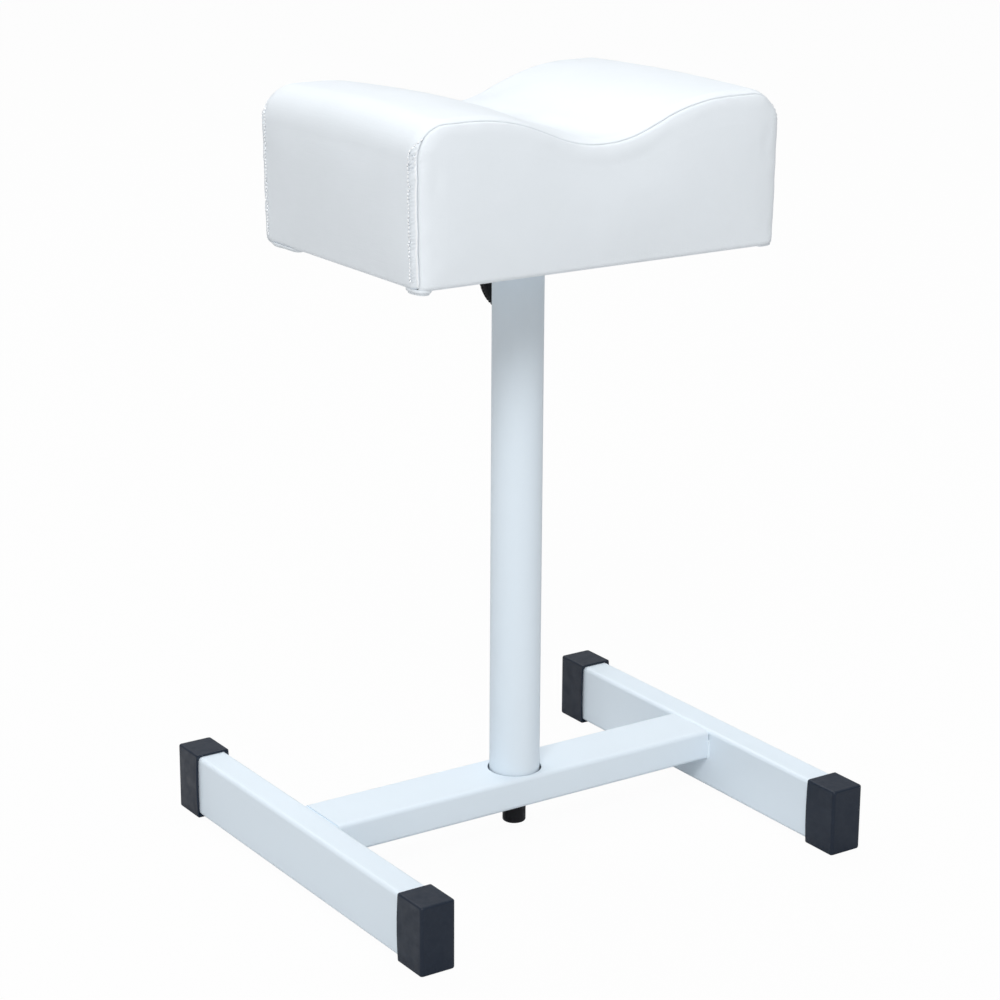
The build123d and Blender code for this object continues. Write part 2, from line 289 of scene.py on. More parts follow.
@dataclass(frozen=True)
class ArtificialLeather(Finish):
    """White artificial leather with a fine grain and faint creases."""

    name: str = "white_artificial_leather"
    slot: str = "white_vinyl"
    colour: Colour = (0.855, 0.902, 0.948)
    shade_colour: Colour = (0.825, 0.874, 0.915)
    # Colour of the painted shade in the seams' grooves and stitch holes.
    seam_shade_colour: Colour = (0.5, 0.54, 0.57)
    # Colour of the painted highlight on the welts beside the upright seams.
    welt_highlight_colour: Colour = (0.985, 0.995, 1.0)
    specular: float = 0.36

    def make(self) -> None:
        """Build the material's nodes."""
        shading = Shading(self.name)
        cloud = shading.spread(shading.noise(60, 5, bend=0.4), 0.0, 0.7)
        colour = shading.mix(cloud, self.colour, self.shade_colour)
        # Painted shade: darker in the seams' grooves and stitch holes.
        colour = shading.mix(shading.attribute("seam_shade"), colour, self.seam_shade_colour)
        # Painted highlight on the welts beside the upright seams.
        colour = shading.mix(shading.attribute("seam_edge"), colour, self.welt_highlight_colour)
        roughness = shading.spread(shading.noise(8, 5), 0.46, 0.6)
        pebbles = shading.spread(shading.cells(0.9), 0.0, 1.0, 0.0, 0.18)
        normal = shading.relief(pebbles, 0.016)
        normal = shading.relief(shading.noise(0.7, 3), 0.014, normal)
        normal = shading.relief(shading.noise(2.2, 3, (1.0, 7.0, 1.0), 0.6), 0.085, normal)
        normal = shading.relief(shading.noise(38, 2), 0.22, normal)
        shading.finish(colour, roughness, normal, specular=self.specular)


@dataclass(frozen=True)
class SoftCap(Finish):
    """Soft black plastic of the pull-over caps, with rubbed streaks."""

    name: str = "black_soft_cap"
    slot: str = "black_cap"
    colour: Colour = (0.003, 0.0105, 0.026)
    rubbed_colour: Colour = (0.007, 0.016, 0.034)
    dust_colour: Colour = (0.03, 0.04, 0.052)
    specular: float = 0.42

    def make(self) -> None:
        """Build the material's nodes."""
        shading = Shading(self.name)
        streaks = shading.spread(shading.noise(3.0, 5, (1.0, 6.0, 1.0), 0.5), 0.0, 0.8, 0.5, 0.78)
        colour = shading.mix(streaks, self.colour, self.rubbed_colour)
        dust = shading.spread(shading.noise(0.8, 2), 0.0, 0.5, 0.68, 0.76)
        colour = shading.mix(dust, colour, self.dust_colour)
        roughness = shading.spread(shading.noise(9, 5), 0.36, 0.55)
        normal = shading.relief(shading.noise(1.1, 3), 0.012)
        normal = shading.relief(shading.noise(14, 2), 0.12, normal)
        shading.finish(colour, roughness, normal, specular=self.specular)


@dataclass(frozen=True)
class MouldedPlastic(Finish):
    """Hard black plastic of the knob, the nut's cap and the guides."""

    name: str = "black_moulded_plastic"
    slot: str = "black_plastic"
    colour: Colour = (0.005, 0.005, 0.007)
    cloud_colour: Colour = (0.009, 0.009, 0.012)
    specular: float = 0.22

    def make(self) -> None:
        """Build the material's nodes."""
        shading = Shading(self.name)
        cloud = shading.spread(shading.noise(7, 4), 0.0, 1.0)
        colour = shading.mix(cloud, self.colour, self.cloud_colour)
        roughness = shading.spread(shading.noise(4, 4), 0.32, 0.48)
        normal = shading.relief(shading.noise(0.45, 2), 0.01)
        shading.finish(colour, roughness, normal, specular=self.specular)


@dataclass(frozen=True)
class Metal(Finish):
    """Bare or plated metal, with fine scratches round or along it."""

    name: str = "zinc_plate"
    slot: str = "zinc_steel"
    colour: Colour = (0.62, 0.64, 0.66)
    dull_colour: Colour = (0.48, 0.49, 0.5)
    roughness: tuple[float, float] = (0.24, 0.42)
    metallic: float = 1.0

    def make(self) -> None:
        """Build the material's nodes."""
        shading = Shading(self.name)
        cloud = shading.spread(shading.noise(6, 4), 0.0, 1.0)
        colour = shading.mix(cloud, self.colour, self.dull_colour)
        roughness = shading.spread(shading.noise(2.5, 4), *self.roughness)
        scratches = shading.noise(0.5, 3, (12.0, 12.0, 1.0))
        shading.finish(colour, roughness, shading.relief(scratches, 0.006), self.metallic)


@dataclass(frozen=True)
class Plywood(Finish):
    """Birch plywood: long grain on its faces and darker plies on its edges."""

    name: str = "birch_plywood"
    slot: str = "plywood"
    pale: Colour = (0.56, 0.40, 0.24)
    dark: Colour = (0.36, 0.225, 0.115)
    glue_colour: Colour = (0.2, 0.12, 0.06)
    ply: float = 1.5

    def make(self) -> None:
        """Build the material's nodes."""
        shading = Shading(self.name)
        grain = shading.noise(1.8, 5, (14.0, 1.0, 60.0), 0.8)
        colour = shading.mix(shading.spread(grain, 0.0, 1.0), self.pale, self.dark)
        split = shading.node("ShaderNodeSeparateXYZ", {"Vector": shading.place})
        layer = shading.node("ShaderNodeMath", {0: split.outputs["Z"], 1: self.ply * MM},
                             operation="PINGPONG")
        glue = shading.spread(layer.outputs["Value"], 0.55, 0.0, 0.0, 0.35 * MM)
        colour = shading.mix(glue, colour, self.glue_colour)
        roughness = shading.spread(grain, 0.55, 0.75)
        shading.finish(colour, roughness, shading.relief(grain, 0.05))


@dataclass(frozen=True)
class FoamBlock(Finish):
    """Open-celled foam inside the cover."""

    name: str = "upholstery_foam"
    slot: str = "foam"
    colour: Colour = (0.82, 0.78, 0.62)
    # Colour of the painted shade in the pores.
    pore_shade_colour: Colour = (0.6, 0.55, 0.4)

    def make(self) -> None:
        """Build the material's nodes."""
        shading = Shading(self.name)
        pores = shading.spread(shading.cells(1.2), 0.0, 1.0, 0.0, 0.3)
        # Painted shade: the pores' hollows are drawn darker.
        colour = shading.mix(pores, self.pore_shade_colour, self.colour)
        roughness = shading.spread(shading.noise(3, 3), 0.85, 1.0)
        shading.finish(colour, roughness, shading.relief(pores, 0.4))


@dataclass(frozen=True)
class SewingThread(Finish):
    """White sewing thread, twisted."""

    name: str = "white_thread"
    slot: str = "white_vinyl"
    colour: Colour = (0.97, 0.98, 0.99)
    shade_colour: Colour = (0.9, 0.92, 0.94)

    def make(self) -> None:
        """Build the material's nodes."""
        shading = Shading(self.name)
        twist = shading.noise(0.25, 2)
        colour = shading.mix(shading.spread(twist, 0.0, 0.5), self.colour, self.shade_colour)
        roughness = shading.spread(twist, 0.5, 0.7)
        shading.finish(colour, roughness, shading.relief(twist, 0.05))


WHITE_METAL = PowderCoat()
LEATHER = ArtificialLeather()
BLACK_CAP = SoftCap()
BLACK_PLASTIC = MouldedPlastic()
BLACK_GUIDE = MouldedPlastic("black_guide_plastic", "black_bush", (0.014, 0.014, 0.015))
ZINC = Metal()
BARE_STEEL = Metal(
    "bare_steel_turned", "bare_steel", (0.44, 0.44, 0.45), (0.3, 0.29, 0.28), (0.3, 0.5))
BRASS = Metal("turned_brass", "brass_pad", (0.78, 0.57, 0.25), (0.6, 0.42, 0.18), (0.22, 0.4))
PLYWOOD = Plywood()
FOAM = FoamBlock()
THREAD = SewingThread()


# Outlines and shells


def axes(origin: Place, x_dir: Place, z_dir: Place) -> Array:
    """Placement of a flat outline and of the axis that it is drawn along.

    Args:
        origin: Where the outline's zero lies.
        x_dir: Direction of the outline's first number.
        z_dir: Direction that heights are measured in.

    Returns:
        A matrix of four rows, in millimetres.
    """
    x_axis, z_axis = np.array(x_dir, float), np.array(z_dir, float)
    place = np.eye(4)
    place[:3, 0] = x_axis / np.linalg.norm(x_axis)
    place[:3, 2] = z_axis / np.linalg.norm(z_axis)
    place[:3, 1] = np.cross(place[:3, 2], place[:3, 0])
    place[:3, 3] = origin
    return place


UPRIGHT = axes((0, 0, 0), (1, 0, 0), (0, 0, 1))


def rounded_rectangle(width: float, height: float, radius: float, corner: int = 6,
                      side: int = 1) -> Array:
    """Outline of a rectangle with rounded corners.

    Args:
        width: Its first size.
        height: Its second size.
        radius: Radius of its corners.
        corner: Steps in each corner.
        side: Steps along each straight side.

    Returns:
        The outline's points, as many for each size.
    """
    across, up = width / 2 - radius, height / 2 - radius
    turns = np.radians(np.linspace(0, 90, corner + 1))
    arcs: list[Array] = []
    centres = ((across, -up, -90), (across, up, 0), (-across, up, 90), (-across, -up, 180))
    for x, y, start in centres:
        angle = turns + math.radians(start)
        arcs.append(np.stack([x + radius * np.cos(angle), y + radius * np.sin(angle)], 1))
    loop: list[Array] = []
    shares = np.linspace(0, 1, side + 1)[1:-1, None]
    for arc, following in zip(arcs, arcs[1:] + arcs[:1]):
        loop += [arc, arc[-1] + (following[0] - arc[-1]) * shares]
    return np.concatenate(loop)


def circle(radius: float, count: int = 96) -> Array:
    """Points of a circle."""
    turn = np.arange(count) * 2 * math.pi / count
    return radius * np.stack([np.cos(turn), np.sin(turn)], 1)


def rounded_hexagon(across_flats: float, radius: float, corner: int = 3) -> Array:
    """Outline of a hexagon with rounded corners.

    Args:
        across_flats: Its size across flats.
        radius: Radius of its corners.
        corner: Steps in each corner.

    Returns:
        The outline's points.
    """
    reach = (across_flats / 2 - radius) / math.cos(math.pi / 6)
    turns = np.radians(np.linspace(-30, 30, corner + 1))
    loop = []
    for index in range(6):
        middle = index * math.pi / 3
        centre = reach * np.array([math.cos(middle), math.sin(middle)])
        angle = middle + turns
        loop.append(centre + radius * np.stack([np.cos(angle), np.sin(angle)], 1))
    return np.concatenate(loop)


def add_object(name: str, data: bpy.types.ID) -> bpy.types.Object:
    """Make an object of a mesh, lamp or camera, in the scene.

    Args:
        name: Its name.
        data: What it shows.

    Returns:
        The object.
    """
    made = bpy.data.objects.new(name, data)
    bpy.context.scene.collection.objects.link(made)
    return made


def plain_mesh(work: bpy.types.Object) -> bpy.types.Mesh:
    """Mesh of an object with its modifiers applied."""
    graph = bpy.context.evaluated_depsgraph_get()
    return bpy.data.meshes.new_from_object(work.evaluated_get(graph))


def dress(mesh: bpy.types.Mesh, name: str, finish: Finish, body: Body,
          nodes: Sequence[str] = ()) -> bpy.types.Object:
    """Make a piece of a mesh that is already in place.

    Args:
        mesh: Its mesh, in metres.
        name: Its name.
        finish: Its finish.
        body: The body that it moves with.
        nodes: The CAD nodes that it stands for.

    Returns:
        The piece.
    """
    mesh.name = name
    mesh.materials.clear()
    mesh.materials.append(finish.material())
    piece = add_object(name, mesh)
    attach(piece, body.value)
    if nodes:
        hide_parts(*nodes)
    LOG.info("%s: %d faces, %s, on %s", name, len(mesh.polygons), finish.name, body.value)
    return piece


def dress_node(node: str, finish: Finish) -> None:
    """Give a CAD node that stays its finish.

    Args:
        node: The node's name.
        finish: The finish.
    """
    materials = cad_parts[node].data.materials
    materials.clear()
    materials.append(finish.material())
    LOG.info("%s: CAD node, %s", node, finish.name)


class Shell:
    """Points and faces of one piece, in millimetres."""

    def __init__(self) -> None:
        """Start with nothing."""
        self.points: list[Array] = []
        self.faces: list[tuple[int, ...]] = []
        self.count = 0

    def add_points(self, points: Array) -> Numbers:
        """Add points.

        Args:
            points: A row or a grid of points.

        Returns:
            Their numbers, in the same order.
        """
        flat = np.asarray(points, float).reshape(-1, 3)
        numbers = np.arange(self.count, self.count + len(flat)).reshape(points.shape[:-1])
        self.points.append(flat)
        self.count += len(flat)
        return numbers

    def add_quads(self, numbers: Numbers, closed: bool = False) -> None:
        """Add the faces of a grid of points.

        Args:
            numbers: The points' numbers, in rows.
            closed: Whether each row is a closed loop.
        """
        rows = np.concatenate([numbers, numbers[:, :1]], 1) if closed else numbers
        quads = np.stack([rows[:-1, :-1], rows[:-1, 1:], rows[1:, 1:], rows[1:, :-1]], -1)
        self.faces.extend(map(tuple, quads.reshape(-1, 4).tolist()))

    def add_solid(self, rows: Numbers) -> None:
        """Add the faces of a pile of closed loops, whose two ends are closed."""
        self.add_quads(rows, closed=True)
        self.faces += [tuple(rows[0][::-1].tolist()), tuple(rows[-1].tolist())]

    def skin(self, stations: Sequence[tuple[Array, float]], place: Array = UPRIGHT,
             ring: bool = False) -> None:
        """Join outlines along an axis into a closed surface.

        Args:
            stations: Outlines of as many points each, with their heights.
            place: Where the axis lies.
            ring: Whether the last outline is joined to the first, as in a tube with a wall.
        """
        rows = []
        for outline, height in stations:
            flat = np.column_stack([outline, np.full(len(outline), height)])
            rows.append(self.add_points(flat @ place[:3, :3].T + place[:3, 3]))
        if ring:
            self.add_quads(np.array([*rows, rows[0]]), closed=True)
        else:
            self.add_solid(np.array(rows))

    def lathe(self, profile: Sequence[tuple[float, float]], place: Array = UPRIGHT,
              ring: bool = False, count: int = 96) -> None:
        """Turn a profile of radii and heights round an axis."""
        self.skin([(circle(radius, count), height) for radius, height in profile], place, ring)

    def mesh(self, sharp: float = 35.0) -> bpy.types.Mesh:
        """Make a mesh in metres, with its faces turned outwards.

        Args:
            sharp: Angle in degrees above which an edge stays sharp.

        Returns:
            The mesh.
        """
        made = bpy.data.meshes.new("shell")
        made.from_pydata((np.concatenate(self.points) * MM).tolist(), [], self.faces)
        work = bmesh.new()
        work.from_mesh(made)
        bmesh.ops.recalc_face_normals(work, faces=work.faces)
        work.to_mesh(made)
        work.free()
        made.shade_smooth()
        made.set_sharp_from_angle(angle=math.radians(sharp))
        return made

    def piece(self, name: str, finish: Finish, body: Body, nodes: Sequence[str] = (),
              sharp: float = 35.0) -> bpy.types.Object:
        """Make a rigid piece with even shading on its flat faces.

        Args:
            name: Its name.
            finish: Its finish.
            body: The body that it moves with.
            nodes: The CAD nodes that it stands for.
            sharp: Angle in degrees above which an edge stays sharp.

        Returns:
            The piece.
        """
        made = dress(self.mesh(sharp), name, finish, body, nodes)
        weighted = made.modifiers.new("even_shading", "WEIGHTED_NORMAL")
        weighted.keep_sharp = True
        return made


def drilled(shell: Shell, *drills: Shell) -> bpy.types.Mesh:
    """Cut shells out of another one.

    Args:
        shell: What is drilled.
        drills: What is cut away.

    Returns:
        The drilled mesh.
    """
    work = add_object("drilled", shell.mesh())
    tools = []
    for index, drill in enumerate(drills):
        tool = add_object(f"drill_{index}", drill.mesh())
        cut = work.modifiers.new(f"drill_{index}", "BOOLEAN")
        cut.object, cut.operation, cut.solver = tool, "DIFFERENCE", "EXACT"
        tools.append(tool)
    mesh = plain_mesh(work)
    for spare in (work, *tools):
        bpy.data.objects.remove(spare)
    mesh.shade_smooth()
    mesh.set_sharp_from_angle(angle=math.radians(30))
    return mesh


# Repeats


@dataclass(frozen=True)
class Copies:
    """Copies of a small shape along a path or on points, made by Geometry Nodes."""

    name: str
    shape: CopyShape
    length: float
    width: float
    height: float
    pitch: float = 0.0
    sides: int = 10
    jitter: float = 0.0
    seed: int = 1

    def tree(self) -> tuple[bpy.types.NodeTree, dict[str, str]]:
        """Build the node tree.

        Returns:
            The tree, and the identifier of each named input.
        """
        group = bpy.data.node_groups.new(self.name, "GeometryNodeTree")
        add_socket = group.interface.new_socket
        kinds = {"Geometry": "Geometry"}
        kinds |= {label: "Float" for label in ("Length", "Width", "Height", "Pitch", "Jitter")}
        kinds |= {"Seed": "Int", "Material": "Material"}
        names = {}
        for label, kind in kinds.items():
            made = add_socket(name=label, in_out="INPUT", socket_type=f"NodeSocket{kind}")
            names[label] = made.identifier
        add_socket(name="Geometry", in_out="OUTPUT", socket_type="NodeSocketGeometry")
        given = add_node(group, "NodeGroupInput").outputs
        points = given["Geometry"]
        if self.pitch:
            curve = add_node(group, "GeometryNodeMeshToCurve", {"Mesh": points}).outputs["Curve"]
            spaced = add_node(group, "GeometryNodeResampleCurve",
                              {"Curve": curve, "Length": given["Pitch"]}, mode="LENGTH")
            points = spaced.outputs["Curve"]
        turned: dict[str, Socket] = {}
        for attribute, axis, pivot in (("facing", "Z", "AUTO"), ("along", "X", "Z")):
            read = add_node(group, "GeometryNodeInputNamedAttribute", {"Name": attribute},
                            data_type="FLOAT_VECTOR")
            inputs = {"Vector": read.outputs["Attribute"], **turned}
            turn = add_node(group, "FunctionNodeAlignRotationToVector", inputs, axis=axis,
                            pivot_axis=pivot)
            turned = {"Rotation": turn.outputs["Rotation"]}
        negative = add_node(group, "ShaderNodeMath", {0: given["Jitter"], 1: -1},
                            operation="MULTIPLY")
        inputs = {"Min": negative.outputs["Value"], "Max": given["Jitter"], "Seed": given["Seed"]}
        chance = add_node(group, "FunctionNodeRandomValue", inputs, data_type="FLOAT_VECTOR")
        swing = add_node(group, "FunctionNodeEulerToRotation", {"Euler": chance.outputs["Value"]})
        inputs = {**turned, "Rotate By": swing.outputs["Rotation"]}
        both = add_node(group, "FunctionNodeRotateRotation", inputs, rotation_space="LOCAL")
        size = add_node(group, "ShaderNodeCombineXYZ", {
            "X": given["Length"], "Y": given["Width"], "Z": given["Height"]})
        placed = add_node(group, "GeometryNodeInstanceOnPoints", {
            "Points": points, "Instance": self.unit_shape(group),
            "Rotation": both.outputs["Rotation"], "Scale": size.outputs["Vector"]})
        inputs = {"Geometry": placed.outputs["Instances"]}
        real = add_node(group, "GeometryNodeRealizeInstances", inputs)
        coloured = add_node(group, "GeometryNodeSetMaterial", {
            "Geometry": real.outputs["Geometry"], "Material": given["Material"]})
        add_node(group, "NodeGroupOutput", {"Geometry": coloured.outputs["Geometry"]})
        return group, names

    def unit_shape(self, group: bpy.types.NodeTree) -> Socket:
        """Add the shape that is copied, of size one.

        Args:
            group: The node tree.

        Returns:
            The socket with its geometry.
        """
        if self.shape is CopyShape.BEAD:
            made = add_node(group, "GeometryNodeMeshUVSphere", {
                "Segments": self.sides, "Rings": max(self.sides // 2, 3), "Radius": 0.5})
        elif self.shape is CopyShape.ROD:
            made = add_node(group, "GeometryNodeMeshCylinder", {
                "Vertices": self.sides, "Radius": 0.5, "Depth": 1.0})
        else:
            made = add_node(group, "GeometryNodeMeshCube")
        smooth = add_node(group, "GeometryNodeSetShadeSmooth", {
            "Geometry": made.outputs["Mesh"], "Shade Smooth": self.shape is CopyShape.BEAD})
        return smooth.outputs["Geometry"]

    def mesh(self, paths: Sequence[Array], facings: Sequence[Array], finish: Finish,
             closed: bool = False) -> bpy.types.Mesh:
        """Put copies along paths, or on points where there is no pitch.

        Args:
            paths: Points of each path, in millimetres.
            facings: The direction that a copy's height has at each point.
            finish: Finish of the copies.
            closed: Whether each path ends where it starts.

        Returns:
            A plain mesh of all copies.
        """
        edges, start = [], 0
        for path in paths:
            last = start + len(path) - 1
            if self.pitch:
                edges += [(index, index + 1) for index in range(start, last)]
                edges += [(last, start)] if closed else []
            start = last + 1
        host_mesh = bpy.data.meshes.new(self.name)
        host_mesh.from_pydata((np.concatenate(paths) * MM).tolist(), edges, [])
        along = np.concatenate([
            np.gradient(np.concatenate([p[-1:], p, p[:1]]), axis=0)[1:-1] if closed
            else np.gradient(p, axis=0) if len(p) > 1 else np.array([[1.0, 0.0, 0.0]])
            for p in paths
        ])
        for label, values in (("facing", np.concatenate(facings)), ("along", along)):
            store = host_mesh.attributes.new(label, "FLOAT_VECTOR", "POINT")
            store.data.foreach_set("vector", np.ascontiguousarray(values, np.float32).ravel())
        host = add_object(self.name, host_mesh)
        group, names = self.tree()
        modifier = host.modifiers.new(self.name, "NODES")
        modifier.node_group = group
        values = {"Length": self.length * MM, "Width": self.width * MM, "Height": self.height * MM,
                  "Pitch": self.pitch * MM, "Jitter": math.radians(self.jitter), "Seed": self.seed,
                  "Material": finish.material()}
        for label, value in values.items():
            modifier[names[label]] = value
        made = plain_mesh(host)
        bpy.data.objects.remove(host)
        return made


def smooth_step(value: Array, low: float, high: float) -> Array:
    """Share from zero to one that rises smoothly between two values."""
    share = np.clip((value - low) / (high - low), 0, 1)
    return share * share * (3 - 2 * share)


def ripple(value: Array, length: float, seed: int) -> Array:
    """Smooth random wave of about one in height, the same for each run.

    Args:
        value: Distances along it.
        length: Its length.
        seed: Seed of its phases.

    Returns:
        Its height at each distance.
    """
    chance = np.random.default_rng(seed)
    total = np.zeros_like(value)
    for factor in (0.61, 1.0, 1.47, 2.3):
        total += np.sin(2 * math.pi * value * factor / length + chance.uniform(0, 2 * math.pi)) / 2
    return total


# Base


@dataclass
class FloorBase:
    """H-shaped base of rectangular tube, with its welds and its black caps."""

    bar_length: float = 362.0
    bar_spacing: float = 380.0
    short: float = 25.0
    long: float = 50.0
    wall: float = 1.5
    corner: float = 3.5
    bar_bottom: float = 2.0
    post_hole: float = 21.5
    bolt_hole: float = 4.25
    cap_length: float = 32.0
    cap_wall: float = 2.0
    cap_end: float = 3.5
    cap_end_round: float = 2.6
    cap_top_round: float = 1.3
    cap_edge: float = 1.5
    cap_bow: float = 0.9
    cap_bow_reach: float = 22.0
    cap_gap: float = 0.1
    bead: float = 2.6
    fill_inside: float = 1.3
    fill_depth: float = 2.75
    closed_gap: float = 0.3
    open_gap: float = 1.0
    open_corner: float = 9.0

    @property
    def top(self) -> float:
        """Height of the tubes' upper faces."""
        return self.bar_bottom + self.long

    @property
    def inner_face(self) -> float:
        """Distance from the middle to a foot bar's inner face."""
        return self.bar_spacing / 2 - self.short / 2

    def tube(self, across: float, up: float, reach: float, place: Array) -> Shell:
        """Draw a rectangular tube with its wall.

        Args:
            across: Its first outer size.
            up: Its second outer size.
            reach: Half its length.
            place: Where its middle and its axes lie.

        Returns:
            The tube.
        """
        outside = rounded_rectangle(across, up, self.corner, 10, 4)
        inside = rounded_rectangle(
            across - 2 * self.wall, up - 2 * self.wall, self.corner - self.wall, 10, 4)
        shell = Shell()
        shell.skin([(outside, -reach), (outside, reach), (inside, reach), (inside, -reach)],
                   place, ring=True)
        return shell

    def make_foot_bar(self, side: Side) -> None:
        """Make one foot bar.

        Args:
            side: The side that it stands on.
        """
        name = side.name.lower()
        middle = (side.value * self.bar_spacing / 2, 0, self.bar_bottom + self.long / 2)
        place = axes(middle, (1, 0, 0), (0, -1, 0))
        shell = self.tube(self.short, self.long, self.bar_length / 2, place)
        shell.piece(f"bar_{name}", WHITE_METAL, Body.BASE, [f"foot_bar_{name}"])

    def make_crossbar(self) -> None:
        """Make the crossbar with the post's hole and the bolt's hole."""
        middle = self.top - self.short / 2
        shift = (self.closed_gap - self.open_gap) / 2
        reach = self.inner_face - (self.closed_gap + self.open_gap) / 2
        place = axes((shift, 0, middle), (0, 1, 0), (1, 0, 0))
        post, bolt = Shell(), Shell()
        post.lathe([(self.post_hole, middle), (self.post_hole, self.top + 5)])
        bolt.lathe([(self.bolt_hole, middle - self.short), (self.bolt_hole, middle)], count=32)
        shell = self.tube(self.long, self.short, reach, place)
        mesh = drilled(shell, post, bolt)
        dress(mesh, "cross_tube", WHITE_METAL, Body.BASE, ["crossbar"])

    def make_weld(self, side: Side) -> None:
        """Make the bead round the crossbar's end and the filled groove over the joint.

        Args:
            side: The side of the joint.
        """
        name, face = side.name.lower(), side.value * self.inner_face
        middle = self.top - self.short / 2
        end = rounded_rectangle(self.long, self.short, self.corner, 5, 12)
        path = np.column_stack([np.full(len(end), face), end[:, 0], end[:, 1] + middle])
        path = path[path[:, 2] < self.top - self.open_corner]
        path = path[np.argsort(np.arctan2(path[:, 1], middle - path[:, 2]))]
        facing = np.tile([-side.value, 0.0, 0.0], (len(path), 1))
        bead = Copies("corner_bead", CopyShape.BEAD, 2.6, self.bead, self.bead * 0.9, pitch=1.25,
                      jitter=8, seed=3 + side.value)
        mesh = bead.mesh([path], [facing], WHITE_METAL)
        reach = self.long / 2 - self.corner * 0.6
        path = np.zeros((30, 3))
        path[:, 0] = face + side.value * self.fill_inside
        path[:, 1] = np.linspace(-reach, reach, len(path))
        path[:, 2] = self.top - self.fill_depth
        facing = np.tile([0.0, 0.0, 1.0], (len(path), 1))
        fill = Copies("groove_fill", CopyShape.BEAD, 3.6, 4.6, 4.4, pitch=1.3, jitter=4,
                      seed=7 + side.value)
        filled = fill.mesh([path], [facing], WHITE_METAL)
        dress(mesh, f"weld_bead_{name}", WHITE_METAL, Body.BASE, [f"weld_{name}"])
        dress(filled, f"weld_fill_{name}", WHITE_METAL, Body.BASE)

    def make_cap(self, side: Side, end: End) -> None:
        """Make one cap: soft at its end, crisp along its top and bowed out at its mouth.

        Args:
            side: The side that it is on.
            end: The end that it is on.
        """
        mouth, edge = self.cap_end - self.cap_length, self.cap_edge
        across, up = self.short + 2 * self.cap_wall, self.long + 2 * self.cap_wall
        inside = (self.short + self.cap_gap, self.long + self.cap_gap, self.corner)
        stations = [
            (*inside, 0.0, 0.0), (*inside, mouth + 6, 0.35), (*inside, mouth + 0.5, 0.9),
            (self.short + 0.6, self.long + 0.6, self.corner, mouth + 0.1, 1.0),
            (across - 0.9, up - 0.9, edge, mouth, 1.0),
            (across - 0.25, up - 0.25, edge, mouth + 0.2, 1.0),
            (across, up, edge, mouth + 0.7, 1.0),
        ]
        stations += [(across, up, edge, mouth + along, 1 - along / self.cap_bow_reach)
                     for along in (4, 8, 13, 18)]
        for turn in np.radians(np.linspace(0, 90, 8)):
            inset = 1 - math.cos(turn)
            stations.append((
                across - 2 * self.cap_end_round * inset, up - 2 * self.cap_top_round * inset,
                edge + 0.8 * inset, self.cap_end - self.cap_end_round * (1 - math.sin(turn)), 0.0))
        stations.append((across - 9, up - 8, edge, self.cap_end - 0.12, 0.0))
        loops = []
        for width, height, radius, along, bow in stations:
            outline = rounded_rectangle(width, height, radius, 5, 8)
            swell = self.cap_bow * bow * (1 - (2 * outline[:, 1] / up) ** 2)
            flank = np.abs(outline[:, 0]) > width / 2 - radius - 0.01
            outline[:, 0] += np.sign(outline[:, 0]) * swell * flank
            loops.append((outline, along))
        middle = (side.value * self.bar_spacing / 2, end.value * self.bar_length / 2,
                  self.bar_bottom + self.long / 2)
        shell = Shell()
        shell.skin(loops, axes(middle, (1, 0, 0), (0, end.value, 0)))
        name = f"{end.name.lower()}_{side.name.lower()}"
        shell.piece(f"cap_{name}", BLACK_CAP, Body.BASE, [f"end_cap_{name}"])

    def build(self) -> None:
        """Make every piece of the base."""
        self.make_crossbar()
        for side in Side:
            self.make_foot_bar(side)
            self.make_weld(side)
            for end in End:
                self.make_cap(side, end)


@dataclass
class PostFastening:
    """Bolt, washer, nut and cap that hold the post on the crossbar."""

    crossbar_bottom: float = 27.0
    washer_radius: float = 12.0
    washer_thickness: float = 2.0
    bolt_radius: float = 4.0
    cap_radius: float = 9.3
    cap_length: float = 18.7
    cap_round: float = 1.3

    def make_washer(self) -> None:
        """Make the washer with its stamped, slightly rounded edge."""
        high, low = self.crossbar_bottom, self.crossbar_bottom - self.washer_thickness
        outer, bore = self.washer_radius, self.bolt_radius + 0.2
        shell = Shell()
        shell.lathe([(bore, low), (outer - 0.4, low), (outer - 0.1, low + 0.15), (outer, low + 0.5),
                     (outer, high - 0.2), (outer - 0.2, high), (bore, high)], ring=True, count=64)
        shell.piece("flat_washer", ZINC, Body.BASE, ["base_washer"])

    def make_cap(self) -> None:
        """Make the black cap under the nut."""
        high = self.crossbar_bottom - self.washer_thickness
        low = high - self.cap_length
        radius, soft = self.cap_radius, self.cap_round
        profile = [(0.6, low + 0.25), (2.2, low + 0.2), (2.6, low)]
        profile += [(radius - soft + soft * math.sin(turn), low + soft - soft * math.cos(turn))
                    for turn in np.radians(np.linspace(0, 90, 7))]
        profile += [(radius, high - 3.2), (radius + 0.15, high - 2.9), (radius + 0.15, high - 0.4),
                    (radius - 0.25, high), (radius - 1.4, high)]
        shell = Shell()
        shell.lathe(profile, count=72)
        shell.piece("round_nut_cap", BLACK_PLASTIC, Body.BASE, ["base_nut_cap"])

    def build(self) -> None:
        """Make every piece of the fastening."""
        self.make_washer()
        self.make_cap()
        dress_node("base_bolt", ZINC)
        dress_node("base_nut", ZINC)
        dress_node("post_foot_plug", BARE_STEEL)


# Post and clamp


